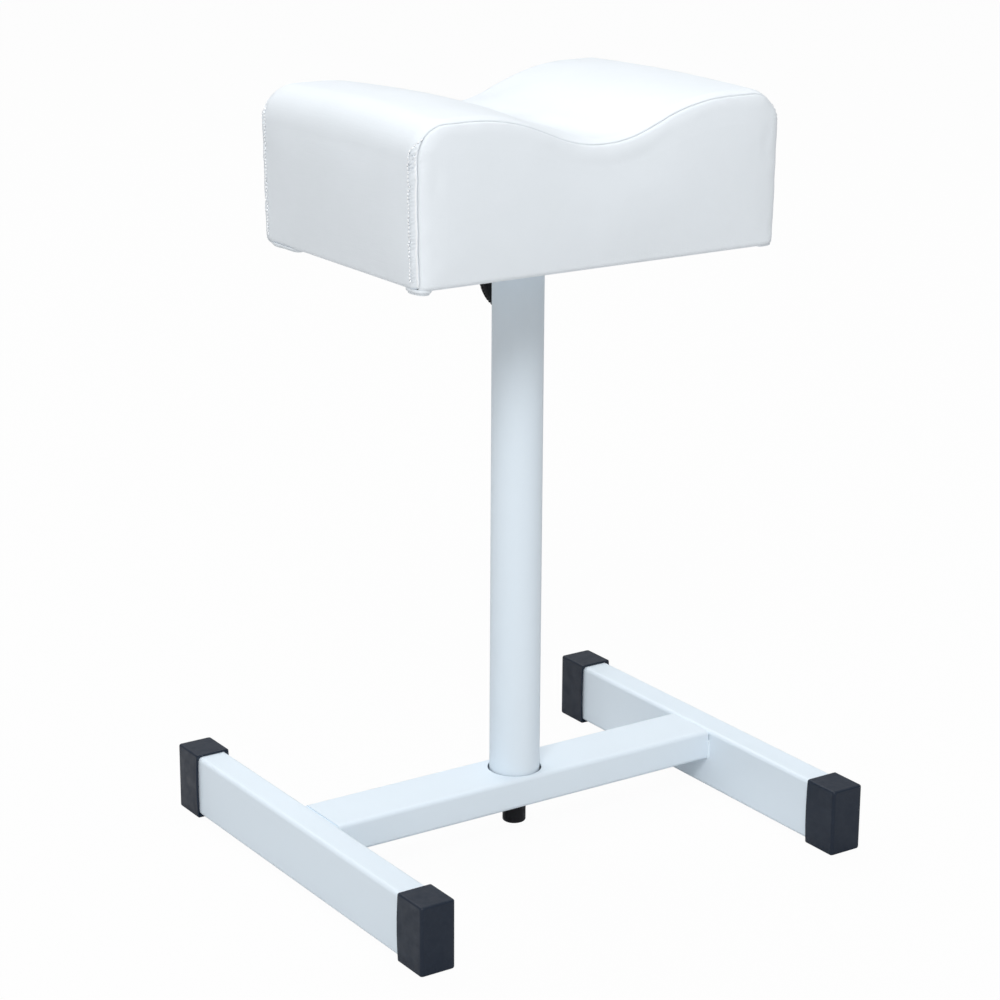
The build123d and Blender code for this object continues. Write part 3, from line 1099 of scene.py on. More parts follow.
@dataclass
class Post:
    """Round post, with the bush in its mouth."""

    radius: float = 20.0
    wall: float = 1.5
    seat: float = 28.5
    mouth: float = 467.5
    ring_heights: tuple[float, float] = (80.0, 270.0)
    tube_radius: float = 16.0
    flange_gap: float = 0.1
    flange: float = 3.0
    sleeve: float = 18.0
    clamp_hole: float = 5.25

    def make_tube(self) -> None:
        """Make the post with a deburred mouth and the clamp screw's hole."""
        outer, inner, low, high = self.radius, self.radius - self.wall, self.seat, self.mouth
        rings = [(outer, level) for level in self.ring_heights]
        shell, drill = Shell(), Shell()
        shell.lathe([(inner, low), (outer - 0.3, low), (outer, low + 0.3), *rings,
                     (outer, high - 0.45), (outer - 0.13, high - 0.12), (outer - 0.45, high),
                     (inner + 0.3, high), (inner, high - 0.3)], ring=True, count=128)
        drill.lathe([(self.clamp_hole, 8.0), (self.clamp_hole, outer + 5)], HandClamp().place,
                    count=32)
        mesh = drilled(shell, drill)
        dress(mesh, "post_round_tube", WHITE_METAL, Body.BASE, ["post_tube"])

    def make_bush(self) -> None:
        """Make the flanged bush."""
        low, bore = self.mouth + self.flange_gap, self.tube_radius + 0.05
        high, sleeve = low + self.flange, self.mouth - self.sleeve
        skirt = self.radius - self.wall - 0.05
        outer, shell = self.radius, Shell()
        shell.lathe([(bore + 0.5, sleeve), (skirt - 0.5, sleeve), (skirt, sleeve + 0.8),
                     (skirt, low), (outer - 0.3, low), (outer, low + 0.3), (outer, high - 0.9),
                     (outer - 0.25, high - 0.3), (outer - 0.9, high), (bore + 0.6, high),
                     (bore, high - 0.6), (bore, sleeve + 0.5)], ring=True)
        shell.piece("flanged_bush", BLACK_GUIDE, Body.BUSH, ["post_bush"])

    def build(self) -> None:
        """Make every piece of the post."""
        self.make_tube()
        self.make_bush()


@dataclass
class HandClamp:
    """Knob, screw, pad and weld nut that clamp the inner tube."""

    azimuth: float = 62.5
    height: float = 438.0
    post_radius: float = 20.0
    nut_flats: float = 17.0
    nut_end: float = 32.0
    screw_radius: float = 4.95
    thread_pitch: float = 1.5
    thread_depth: float = 0.75
    pad_face: float = 16.2
    pad_back: float = 19.2
    pad_radius: float = 4.5
    stud_tip: float = 19.3
    stud_end: float = 46.0
    hub_face: float = 34.0
    hub_radius: float = 12.0
    disc_face: float = 38.0
    disc_end: float = 54.0
    disc_radius: float = 24.0
    disc_round: float = 1.8
    rib_count: int = 60
    rib_depth: float = 0.7
    rib_gap: float = 0.35
    rib_lift: float = 0.45

    @property
    def place(self) -> Array:
        """Placement of the clamp's axis, with heights from the post's middle."""
        turn = math.radians(self.azimuth)
        return axes((0, 0, self.height), (0, 0, 1), (math.cos(turn), math.sin(turn), 0.0))

    def to_world(self, points: Array) -> Array:
        """Points from the clamp's own axes to the footrest's."""
        return points @ self.place[:3, :3].T + self.place[:3, 3]

    def make_nut(self) -> None:
        """Make the weld nut and the bead that holds it on the post."""
        flats, end, start = self.nut_flats, self.nut_end, self.post_radius - 1.2
        bore = circle(self.screw_radius + 0.1, 24)
        shell = Shell()
        shell.skin([(bore, end - 0.7), (circle(self.screw_radius + 0.9, 24), end),
                    (rounded_hexagon(flats - 2.2, 3.4), end),
                    (rounded_hexagon(flats - 0.2, 1.0), end - 1.1),
                    (rounded_hexagon(flats, 0.6), end - 1.6),
                    (rounded_hexagon(flats, 0.6), start), (bore, start)], self.place, ring=True)
        shell.piece("weld_nut", WHITE_METAL, Body.BASE, ["clamp_nut"])
        up, across = circle(flats / 2 + 1.1, 48).T
        depth = np.sqrt(self.post_radius**2 - across**2) + 0.2
        path = self.to_world(np.column_stack([up, across, depth]))
        bead = Copies("nut_bead", CopyShape.BEAD, 3.0, 3.4, 2.6, pitch=1.7, jitter=9, seed=12)
        facing = path - [0, 0, self.height]
        mesh = bead.mesh([path], [facing], WHITE_METAL, closed=True)
        dress(mesh, "nut_weld_bead", WHITE_METAL, Body.BASE)

    def make_stud(self) -> None:
        """Make the clamp screw with its thread."""
        rounds, steps = 48, 6
        rows = int((self.stud_end - self.stud_tip - 1.6) / self.thread_pitch * steps)
        low = self.stud_tip + 0.8
        angle = np.arange(rounds) * 2 * math.pi / rounds
        tip_radii = (2.1, self.screw_radius - 0.9)
        loops = [(circle(radius, rounds), self.stud_tip) for radius in tip_radii]
        for row in range(rows + 1):
            along = low + row * self.thread_pitch / steps
            phase = (along / self.thread_pitch - angle / (2 * math.pi)) % 1.0
            fade = min(1.0, row / steps, (rows - row) / steps)
            radius = self.screw_radius - self.thread_depth * (1 - np.abs(2 * phase - 1)) * fade
            radius = radius - 0.5 * (1 - fade)
            loops.append((circle(1.0, rounds) * radius[:, None], along))
        loops.append((circle(self.screw_radius - 1.2, rounds), self.stud_end))
        shell = Shell()
        shell.skin(loops, self.place)
        shell.piece("threaded_stud", ZINC, Body.KNOB, ["clamp_stud"], sharp=60)

    def make_pad(self) -> None:
        """Make the pressure pad and its shank."""
        shell = Shell()
        face, back, radius = self.pad_face, self.pad_back, self.pad_radius
        shell.lathe([(radius - 0.6, face), (radius - 0.15, face + 0.15), (radius, face + 0.6),
                     (radius, back - 0.3), (radius - 0.3, back), (2.0, back), (2.0, back + 3.7),
                     (1.7, back + 4.0)], self.place, count=40)
        shell.piece("pressure_pad", BRASS, Body.PAD, ["clamp_pad"])

    def make_knob(self) -> None:
        """Make the knob's body and the ribs round its rim."""
        root = self.disc_radius - self.rib_depth - self.rib_gap
        face, end, soft = self.disc_face, self.disc_end, self.disc_round
        profile = [(self.screw_radius + 0.1, self.hub_face), (self.hub_radius - 0.8, self.hub_face),
                   (self.hub_radius, self.hub_face + 0.8), (self.hub_radius, face - 0.8),
                   (self.hub_radius + 0.8, face)]
        profile += [(root - soft + soft * math.sin(turn), face + soft - soft * math.cos(turn))
                    for turn in np.radians(np.linspace(0, 90, 6))]
        profile += [(root - soft + soft * math.cos(turn), end - soft + soft * math.sin(turn))
                    for turn in np.radians(np.linspace(0, 90, 6))]
        profile += [(root - 3.6, end), (root - 4.4, end - 0.7), (9.2, end - 0.7), (8.6, end - 0.1),
                    (7.6, end), (0.4, end)]
        shell = Shell()
        shell.lathe(profile, self.place, count=120)
        shell.piece("knob_body", BLACK_PLASTIC, Body.KNOB, ["clamp_knob"])
        ring = circle(root + self.rib_lift, self.rib_count)
        path = self.to_world(np.column_stack([ring, np.full(len(ring), (face + end) / 2)]))
        facing = np.tile(self.place[:3, 2], (self.rib_count, 1))
        ribs = Copies("rim_ribs", CopyShape.ROD, 1.6, 1.7, end - face - 3.4, sides=10, seed=4)
        mesh = ribs.mesh([path], [facing], BLACK_PLASTIC)
        mesh.shade_smooth()
        mesh.set_sharp_from_angle(angle=math.radians(50))
        dress(mesh, "knob_ribs", BLACK_PLASTIC, Body.KNOB)

    def build(self) -> None:
        """Make every piece of the clamp."""
        self.make_nut()
        self.make_stud()
        self.make_pad()
        self.make_knob()


@dataclass
class Column:
    """Inner tube with its glide, and the weld that holds it on the plate."""

    radius: float = 16.0
    wall: float = 2.0
    bottom: float = 151.0
    plate_bottom: float = 474.9
    weld_leg: float = 4.0

    def make_tube(self) -> None:
        """Make the inner tube."""
        outer, inner = self.radius, self.radius - self.wall
        low, high = self.bottom, self.plate_bottom
        shell = Shell()
        shell.lathe([(inner, low), (outer - 0.3, low), (outer, low + 0.3), (outer, low + 110),
                     (outer, high), (inner, high)], ring=True)
        shell.piece("sliding_tube", WHITE_METAL, Body.HEAD, ["inner_tube"])

    def make_weld(self) -> None:
        """Make the rippled bead under the plate."""
        ring = circle(1.0, 72)
        level = np.full(72, self.plate_bottom - self.weld_leg * 0.34)
        path = np.column_stack([ring * (self.radius + self.weld_leg * 0.32), level])
        facing = np.column_stack([ring, np.full(72, -1.0)])
        bead = Copies("plate_bead", CopyShape.BEAD, 3.4, 5.0, 2.7, pitch=1.9, jitter=6, seed=21)
        mesh = bead.mesh([path], [facing], WHITE_METAL, closed=True)
        dress(mesh, "plate_weld_bead", WHITE_METAL, Body.HEAD, ["plate_weld"])

    def build(self) -> None:
        """Make every piece of the column."""
        self.make_tube()
        self.make_weld()
        dress_node("tube_glide", BLACK_GUIDE)


@dataclass
class SeatPlate:
    """Steel plate under the cushion, its screws and the cushion's board."""

    bottom: float = 474.9
    length: float = 160.0
    width: float = 120.0
    thickness: float = 3.0
    corner: float = 8.0
    screw_x: float = 68.0
    screw_y: float = 48.0
    head_flats: float = 8.0
    head_corners: float = 1.1547
    head_height: float = 2.4
    collar_share: float = 1.35
    collar: float = 0.6
    board_length: float = 312.0
    board_width: float = 219.0
    board_thickness: float = 15.0
    board_corner: float = 8.0

    def slab(self, length: float, width: float, corner: float, low: float, high: float,
             soft: float) -> Shell:
        """Draw a slab with rounded corners and slightly rounded edges.

        Args:
            length: Its size along X.
            width: Its size along Y.
            corner: Radius of its corners.
            low: Height of its lower face.
            high: Height of its upper face.
            soft: Rounding of its edges.

        Returns:
            The slab.
        """
        stations = [(soft, low), (soft * 0.3, low + soft * 0.3), (0.0, low + soft),
                    (0.0, high - soft), (soft * 0.3, high - soft * 0.3), (soft, high)]
        shell = Shell()
        shell.skin([
            (rounded_rectangle(length - 2 * inset, width - 2 * inset, corner - inset, 8), level)
            for inset, level in stations])
        return shell

    def make_screws(self) -> None:
        """Make the hexagon heads with their pressed collars."""
        level = self.bottom - self.head_height / 2 - self.collar / 2
        places = np.array([(x * self.screw_x, y * self.screw_y, level)
                           for x in (-1, 1) for y in (-1, 1)])
        down = np.tile([0.0, 0.0, -1.0], (4, 1))
        across = self.head_flats * self.head_corners
        heads = Copies("screw_heads", CopyShape.ROD, across, across,
                       self.head_height - self.collar, sides=6, seed=31)
        dress(heads.mesh([places], [down], ZINC), "hexagon_heads", ZINC, Body.HEAD,
              ["plate_screws"])
        across = self.head_flats * self.collar_share
        collars = Copies("screw_collars", CopyShape.ROD, across, across, self.collar, sides=28,
                         seed=32)
        places[:, 2] = self.bottom - self.collar / 2
        dress(collars.mesh([places], [down], ZINC), "screw_collars", ZINC, Body.HEAD)

    def build(self) -> None:
        """Make the plate, its screws and the board."""
        top = self.bottom + self.thickness
        plate = self.slab(self.length, self.width, self.corner, self.bottom, top, 0.5)
        plate.piece("steel_plate", WHITE_METAL, Body.HEAD, ["mounting_plate"])
        board = self.slab(self.board_length, self.board_width, self.board_corner, top,
                          top + self.board_thickness, 1.0)
        board.piece("ply_board", PLYWOOD, Body.HEAD, ["cushion_board"])
        self.make_screws()


# Cushion


OUTLINE_STEP = 0.4
CLOSE = 1e-6


class Outline:
    """Outline across the cushion, from hem to hem, as points spaced evenly along it."""

    def __init__(self, runs: Sequence[tuple[Array, Array]]) -> None:
        """Join the runs of the right half and mirror them.

        Args:
            runs: Points and outward normals of each run, from the middle to the right hem.
        """
        points = np.concatenate([run[0] for run in runs])
        normals = np.concatenate([run[1] for run in runs])
        flip = np.array([-1.0, 1.0])
        self.points = np.concatenate([points[::-1] * flip, points[1:]])
        self.normals = np.concatenate([normals[::-1] * flip, normals[1:]])
        step = np.linalg.norm(np.diff(self.points, axis=0), axis=1)
        self.lengths = np.concatenate([[0.0], np.cumsum(step)])
        ends = np.cumsum([len(run[0]) for run in runs]) - 1
        middle = self.lengths[len(points) - 1]
        self.marks = [self.lengths[len(points) - 1 + end] - middle for end in ends]
        self.lengths -= middle

    def at(self, along: Array) -> tuple[Array, Array]:
        """Find places on the outline.

        Args:
            along: Distances along it, from its middle.

        Returns:
            The points and the outward normals there.
        """
        point, normal = (
            np.stack([np.interp(along, self.lengths, values[:, axis]) for axis in (0, 1)], -1)
            for values in (self.points, self.normals))
        return point, normal / np.linalg.norm(normal, axis=-1, keepdims=True)


def arc_run(centre: tuple[float, float], radius: float, start: float, stop: float,
            hollow: bool = False) -> tuple[Array, Array]:
    """Arc of an outline.

    Args:
        centre: Its centre.
        radius: Its radius.
        start: The angle in degrees where it starts.
        stop: The angle where it ends.
        hollow: Whether its normals point to the centre.

    Returns:
        Its points and outward normals.
    """
    count = max(4, int(abs(math.radians(stop - start)) * radius / OUTLINE_STEP))
    turn = np.radians(np.linspace(start, stop, count + 1))
    ray = np.stack([np.cos(turn), np.sin(turn)], 1)
    return np.array(centre) + radius * ray, -ray if hollow else ray


def straight_run(start: Array, stop: Array, normal: tuple[float, float]) -> tuple[Array, Array]:
    """Straight of an outline.

    Args:
        start: Where it starts.
        stop: Where it ends.
        normal: Its outward normal.

    Returns:
        Its points and outward normals.
    """
    count = max(2, int(np.linalg.norm(stop - start) / OUTLINE_STEP))
    share = np.linspace(0, 1, count + 1)[:, None]
    points = start + (stop - start) * share
    return points, np.tile(np.array(normal, float), (len(points), 1))


def stretches(row: Array, split: tuple[int, int]) -> tuple[Array, Array, Array]:
    """Left, top and right stretch of a border's row, with the two sides from the bottom up."""
    return row[: split[0] + 1], row[split[0] : split[1] + 1], row[split[1] :][::-1]


@dataclass
class Cushion:
    """Saddle cushion: foam in a cover of one strip and two sewn-in end panels."""

    width: float = 320.0
    depth: float = 224.0
    bottom: float = 476.9
    height: float = 119.0
    corner: float = 26.0
    saddle_depth: float = 26.0
    slope: float = 22.5
    rim: float = 20.0
    valley_share: float = 0.39
    crown: float = 2.0
    side_draw: float = 1.5
    seam_draw: float = 2.5
    seam_plane: float = 107.0
    setback: float = 5.0
    rounding: float = 11.0
    roll: float = 4.0
    hem: float = 25.0
    thickness: float = 1.0
    board_top: float = 492.9
    row_distance: float = 7.0
    row_lead: float = 19.0
    stitch_pitch: float = 3.0
    puff_cap: float = 3.0
    draw_start: float = 0.92
    draw_share: float = 0.08
    corner_folds: tuple[Place, ...] = (
        (-16.0, 0.4, 1.0), (-11.5, 0.7, 0.95), (-7.5, 0.9, 0.9), (-3.5, 1.0, 0.95),
        (0.5, 0.8, 1.0), (5.0, 0.5, 1.0), (11.0, 0.3, 1.1))
    outline: Outline = field(init=False)
    coarse_along: Array = field(init=False)
    coarse_split: tuple[int, int] = field(init=False)
    coarse_y: Array = field(init=False)
    coarse_distances: Array = field(init=False)
    puffs: dict[str, Array] = field(init=False, default_factory=dict)
    seams: dict[End, Array] = field(init=False, default_factory=dict)

    def __post_init__(self) -> None:
        """Work out the outline and the coarse cover's spacing."""
        top = self.bottom + self.height
        corner_x, corner_z = self.width / 2 - self.corner, top - self.corner
        shoulder_x = corner_x - self.rim
        slope = math.radians(self.slope)
        radii = (shoulder_x - self.saddle_depth / math.tan(slope)) / math.tan(slope / 2)
        valley, shoulder = radii * self.valley_share, radii * (1 - self.valley_share)
        side_height = self.height - self.corner
        side_radius = (side_height**2 + self.side_draw**2) / (2 * self.side_draw)
        side_angle = math.degrees(math.asin((corner_z - self.bottom - self.roll) / side_radius))
        floor = arc_run((0, top - self.saddle_depth + valley), valley, 270, 270 + self.slope,
                        hollow=True)
        turn = arc_run((shoulder_x, top - shoulder), shoulder, 90 + self.slope, 90)
        side_middle = (self.width / 2 - side_radius, corner_z)
        side = arc_run(side_middle, side_radius, 0, -side_angle)
        foot = side[0][-1]
        roll = arc_run((foot[0] - self.roll, foot[1]), self.roll, 0, -90)
        hem_end = np.array([self.width / 2 - self.hem, self.bottom])
        self.outline = Outline([
            floor, straight_run(floor[0][-1], turn[0][0], (-math.sin(slope), math.cos(slope))),
            turn, straight_run(turn[0][-1], np.array([corner_x, top]), (0.0, 1.0)),
            arc_run((corner_x, corner_z), self.corner, 90, 0), side,
            roll, straight_run(roll[0][-1], hem_end, (0.0, -1.0))])
        self.coarse_along, self.coarse_split = self.samples(8.0, 6.0, 8.0)
        self.coarse_y = np.linspace(-self.seam_plane, self.seam_plane, 27)
        self.coarse_distances = np.array([0.0, 2.0, 5.0, 8.0, 11.0])

    @property
    def middle(self) -> Array:
        """The cushion's middle."""
        return np.array([0.0, 0.0, self.bottom + self.height / 2])

    @property
    def corner_marks(self) -> tuple[float, float, float, float, float]:
        """Distances to the corner's start, middle and end, the roll's start and the hem."""
        rim_end, corner_end, side_end, roll_end = self.outline.marks[3:7]
        return rim_end, (rim_end + corner_end) / 2, corner_end, side_end, roll_end

    def crown_drop(self, y: Array, z: Array) -> Array:
        """How far the top lies lower away from the middle."""
        share = np.clip((z - self.bottom - self.roll) / (self.height - self.roll), 0, 1)
        return self.crown * np.minimum(np.abs(y) / self.seam_plane, 1) ** 2 * share

    def seam_pull(self, y: Array) -> Array:
        """How far the seams draw the cover in, at places along the depth."""
        start, share = self.seam_plane * self.draw_start, self.seam_plane * self.draw_share
        return self.seam_draw * np.clip((np.abs(y) - start) / share, 0, 1) ** 1.5

    def strip_points(self, along: Array, y: Array) -> Array:
        """Points of the strip before it is puffed up.

        Args:
            along: Distances along the outline.
            y: Places along the depth.

        Returns:
            A grid of points, with a row for each distance.
        """
        flat, normal = self.outline.at(along)
        y_grid = np.broadcast_to(y, (len(along), len(y)))
        draw = self.seam_pull(y_grid)
        x = flat[:, 0, None] - normal[:, 0, None] * draw
        z = flat[:, 1, None] - normal[:, 1, None] * draw
        return np.stack([x, y_grid, z - self.crown_drop(y_grid, z)], -1)

    def ring_points(self, along: Array, distances: Array, end: End) -> Array:
        """Points of a panel's rounded border.

        Args:
            along: Distances along the outline.
            distances: Distances from the seam.
            end: The panel's end.

        Returns:
            A grid of points, with a row for each distance from the seam.
        """
        flat, normal = self.outline.at(along)
        draw = (self.seam_draw + distances)[:, None]
        x = flat[None, :, 0] - normal[None, :, 0] * draw
        z = flat[None, :, 1] - normal[None, :, 1] * draw
        share = np.clip(1 - distances / self.rounding, 0, 1)
        y = self.seam_plane + self.setback * np.sqrt(1 - share**2)
        y = end.value * np.broadcast_to(y[:, None], x.shape)
        return np.stack([x, y, z - self.crown_drop(y, z)], -1)

    def inner_points(self, ring: Array, split: tuple[int, int]) -> Array:
        """Points inside a ring, blended between its three stretches and the bottom.

        Args:
            ring: Points of the border's last row, from the left bottom to the right bottom.
            split: Where its top stretch starts and ends.

        Returns:
            A grid with a row for each height, whose edges are the ring's own points.
        """
        left, top, right = stretches(ring, split)
        share = (top[:, 0] - top[0, 0]) / (top[-1, 0] - top[0, 0])
        low = left[0] + (right[0] - left[0]) * share[:, None]
        up = np.linspace(0, 1, len(left))[:, None, None]
        span = share[None, :, None]
        sides = (1 - span) * left[:, None] + span * right[:, None]
        ends = (1 - up) * low[None] + up * top[None]
        corners = ((1 - up) * ((1 - span) * low[0] + span * low[-1])
                   + up * ((1 - span) * top[0] + span * top[-1]))
        return sides + ends - corners

    def samples(self, side_step: float, corner_step: float,
                top_step: float) -> tuple[Array, tuple[int, int]]:
        """Distances along the outline between the two rolls, and where the corners' middles are.

        Args:
            side_step: Spacing up the sides.
            corner_step: Spacing round the corners.
            top_step: Spacing over the top.

        Returns:
            The distances, and the numbers of the two corners' middles.
        """
        rim_end, middle, corner_end, side_end, _ = self.corner_marks
        stops = [-side_end, -corner_end, -middle, -rim_end, rim_end, middle, corner_end, side_end]
        steps = [side_step, corner_step, corner_step, top_step, corner_step, corner_step, side_step]
        found: list[float] = [stops[0]]
        split = []
        for index, (start, stop, step) in enumerate(zip(stops, stops[1:], steps)):
            count = max(1, round((stop - start) / step))
            found += list(np.linspace(start, stop, count + 1)[1:])
            if index in (1, 4):
                split.append(len(found) - 1)
        return np.array(found), (split[0], split[1])

    # Cloth

    @staticmethod
    def fill_panel(shell: Shell, border: Numbers, inner: Array,
                   split: tuple[int, int]) -> Numbers:
        """Fill the inside of a panel, up to its border's last row.

        Args:
            shell: Where it is put.
            border: Numbers of the points in that row.
            inner: A grid of points, whose left, right and upper edges are that row.
            split: Where the row's top stretch starts and ends.

        Returns:
            The numbers of the grid's points.
        """
        numbers = np.full(inner.shape[:2], -1)
        numbers[:, 0], numbers[-1], numbers[:, -1] = stretches(border, split)
        fresh = numbers < 0
        numbers[fresh] = shell.add_points(inner[fresh])
        shell.add_quads(numbers)
        return numbers

    def weave(self, shell: Shell) -> dict[str, Numbers]:
        """Sew a coarse cover of strip and panels into one net.

        Args:
            shell: Where the net is put.

        Returns:
            The points' numbers in the strip, the borders and the panels' insides.
        """
        strip = shell.add_points(self.strip_points(self.coarse_along, self.coarse_y))
        shell.add_quads(strip)
        numbers = {"strip": strip}
        for end in End:
            ring = self.ring_points(self.coarse_along, self.coarse_distances, end)
            edge = strip[:, 0 if end is End.FRONT else -1]
            rows = np.concatenate([edge[None], shell.add_points(ring[1:])])
            shell.add_quads(rows)
            inner = self.inner_points(ring[-1], self.coarse_split)
            inner_rows = self.fill_panel(shell, rows[-1], inner, self.coarse_split)
            numbers |= {f"ring_{end.name}": rows, f"inner_{end.name}": inner_rows}
        return numbers

    def puff(self) -> None:
        """Blow the coarse cover up by cloth simulation and keep how far each point moves."""
        net = Shell()
        numbers = self.weave(net)
        rest = np.concatenate(net.points)
        moved = np.zeros_like(rest)
        held = np.zeros(len(rest))
        seams = np.concatenate([numbers["strip"][:, 0], numbers["strip"][:, -1]])
        held[seams] = 0.75
        held[rest[:, 2] < self.bottom + self.roll + 0.5] = 1.0
        moved = self.simulate(net, rest, held)
        self.puffs = {name: moved[grid] for name, grid in numbers.items()}
        LOG.info("cover puffed by up to %.2f mm", float(np.abs(moved).max()))

    def simulate(self, net: Shell, rest: Array, held: Array) -> Array:
        """Run the cloth on the net.

        Args:
            net: The sewn net.
            rest: Its points at rest, in millimetres.
            held: How firmly each point is held, from zero to one.

        Returns:
            How far each point moves, in millimetres.
        """
        mesh = net.mesh()
        normal = np.zeros(len(rest) * 3)
        mesh.vertices.foreach_get("normal", normal)
        work = add_object("cover_net", mesh)
        group = work.vertex_groups.new(name="held")
        for value in np.unique(held):
            if value > 0:
                group.add(np.nonzero(held == value)[0].tolist(), float(value), "REPLACE")
        cloth = work.modifiers.new("cloth", "CLOTH")
        settings = cloth.settings
        settings.quality = 7
        settings.mass = 0.35
        settings.air_damping = 4.0
        settings.tension_stiffness = settings.compression_stiffness = 60.0
        settings.shear_stiffness = 30.0
        settings.bending_stiffness = 6.0
        settings.use_pressure = True
        settings.uniform_pressure_force = 4.0
        settings.vertex_group_mass = "held"
        settings.effector_weights.gravity = 0.0
        cloth.collision_settings.use_collision = False
        cloth.point_cache.frame_start, cloth.point_cache.frame_end = 1, 20
        for number in range(1, 21):
            bpy.context.scene.frame_set(number)
        blown = plain_mesh(work)
        after = np.zeros(len(rest) * 3)
        blown.vertices.foreach_get("co", after)
        bpy.data.objects.remove(work)
        bpy.data.meshes.remove(blown)
        bpy.context.scene.frame_set(1)
        moved = after.reshape(-1, 3) / MM - rest
        inward = np.minimum(np.sum(moved * normal.reshape(-1, 3), 1, keepdims=True), 0.0)
        moved -= normal.reshape(-1, 3) * inward
        length = np.maximum(np.linalg.norm(moved, axis=1, keepdims=True), 1e-9)
        return moved * np.minimum(1.0, self.puff_cap / length)

    @staticmethod
    def between(values: Array, rows: tuple[Array, Array], columns: tuple[Array, Array]) -> Array:
        """Smooth values of a coarse grid at finer rows and columns.

        Args:
            values: Values of the coarse grid.
            rows: Where its rows are, and where the finer rows are.
            columns: The same of the columns.

        Returns:
            The values of the finer grid.
        """
        for axis, (known, wanted) in enumerate((rows, columns)):
            values = np.moveaxis(values, axis, 0)
            before, after = 2 * values[0] - values[1], 2 * values[-1] - values[-2]
            padded = np.concatenate([[before], values, [after]])
            place = np.interp(wanted, known, np.arange(len(known)))
            place = np.clip(place, 0, len(known) - 1 - CLOSE)
            low = place.astype(int)
            t = (place - low)[:, None, None]
            weights = ((1 - t) ** 3, 3 * t**3 - 6 * t**2 + 4,
                       -3 * t**3 + 3 * t**2 + 3 * t + 1, t**3)
            values = sum(weight * padded[low + step] for step, weight in enumerate(weights)) / 6
            values = np.moveaxis(values, 0, axis)
        return values

    # Sewing

    def row_at(self, along: Array) -> Array:
        """Distance from the seam to the stitched row, which runs into the seam at its upper end."""
        start, stop = self.corner_marks[2] - self.row_lead, self.corner_marks[2] - 1
        return self.row_distance * smooth_step(np.abs(along), start, stop)

    def stitch_wave(self, along: Array) -> Array:
        """Wave that is one at the middle of each topstitch and minus one at its ends."""
        reach = np.abs(along) - self.corner_marks[2] + self.row_lead
        return -np.cos(2 * math.pi * reach / self.stitch_pitch)

    def gathers(self, along: Array, distance: Array) -> Array:
        """Height of the puckered flap beside an upright seam.

        Args:
            along: Distances along the outline.
            distance: Distances from the seam.

        Returns:
            Heights above the plain cover, with a row for each place along the outline.
        """
        corner_end = self.corner_marks[2]
        u, d = along[:, None], distance[None, :]
        on_side = smooth_step(np.abs(u), corner_end - self.row_lead - 3, corner_end - 4)
        stitch, row_at = self.stitch_wave(u), self.row_at(u)
        flap = 0.45 * smooth_step(d, 1.2, 2.4) * (1 - smooth_step(d, row_at - 2.0, row_at - 0.2))
        row = -0.14 * np.exp(-(((d - row_at) / 1.0) ** 2)) * (1 - 0.6 * stitch)
        lean = u + np.sign(u) * 0.55 * (row_at - d)
        pull = 0.75 + 0.35 * ripple(u, 19.0, 5)
        near_row = smooth_step(d, 1.2, 3.5) * (1 - smooth_step(d, row_at - 0.1, row_at + 1.6))
        pucker = 0.5 * pull * self.stitch_wave(lean) * near_row
        ease = 0.3 * ripple(u + 0.8 * d, 21.0, 8) * np.exp(-(((d - 4.0) / 5.0) ** 2))
        welt = 0.34 * (1 + 0.45 * stitch) * np.exp(-(((d - 0.85) / 0.42) ** 2))
        return on_side * (flap + row + pucker + ease + welt)

    def creases(self, along: Array, distance: Array, lean: float) -> Array:
        """Height of the short folds where the cover is gathered round an upper corner.

        Args:
            along: Distances along the outline.
            distance: Distances from the seam.
            lean: How far a fold slants for each millimetre from the seam.

        Returns:
            Heights above the plain cover, with a row for each place along the outline.
        """
        corner_end = self.corner_marks[2]
        total = np.zeros((len(along), len(distance)))
        reach, d = np.abs(along)[:, None], distance[None, :]
        for offset, high, wide in self.corner_folds:
            line = reach - (corner_end + offset) - lean * d
            fold = np.exp(-((line / wide) ** 2)) - 0.8 * np.exp(-(((line - 1.7) / wide) ** 2))
            total += high * fold * np.exp(-((d / 6.0) ** 4)) * smooth_step(d, 0.2, 1.4)
        return total

    def groove(self, distance: Array) -> Array:
        """Depth of the groove at a seam and of the low ridge beside it."""
        ridge = 0.14 * np.exp(-(((distance - 1.6) / 0.8) ** 2))
        return -0.5 * np.exp(-((distance / 0.4) ** 2)) + ridge

    def wander(self, along: Array) -> Array:
        """How far the seam strays from its line."""
        return 0.28 * ripple(along, 46.0, 9)

    def grid_normals(self, points: Array) -> Array:
        """Normals of a grid of points.

        Args:
            points: The grid.

        Returns:
            Unit normals away from the cushion's middle.
        """
        normal = np.cross(np.gradient(points, axis=0), np.gradient(points, axis=1))
        normal /= np.maximum(np.linalg.norm(normal, axis=-1, keepdims=True), 1e-9)
        return normal * np.sign(np.sum(normal * (points - self.middle), -1).mean())

    def seam_rows(self) -> Array:
        """Distances from a seam to the strip's rows, as far as its middle."""
        near = (0.0, 0.3, 0.6, 1.0, 1.5, 2.2, 3.0, 3.8, 4.6, 5.4, 6.0, 6.5, 7.0, 7.5, 8.2, 9.2,
                10.8, 13.0)
        return np.array([*near, *np.linspace(17.0, self.seam_plane, 11)])

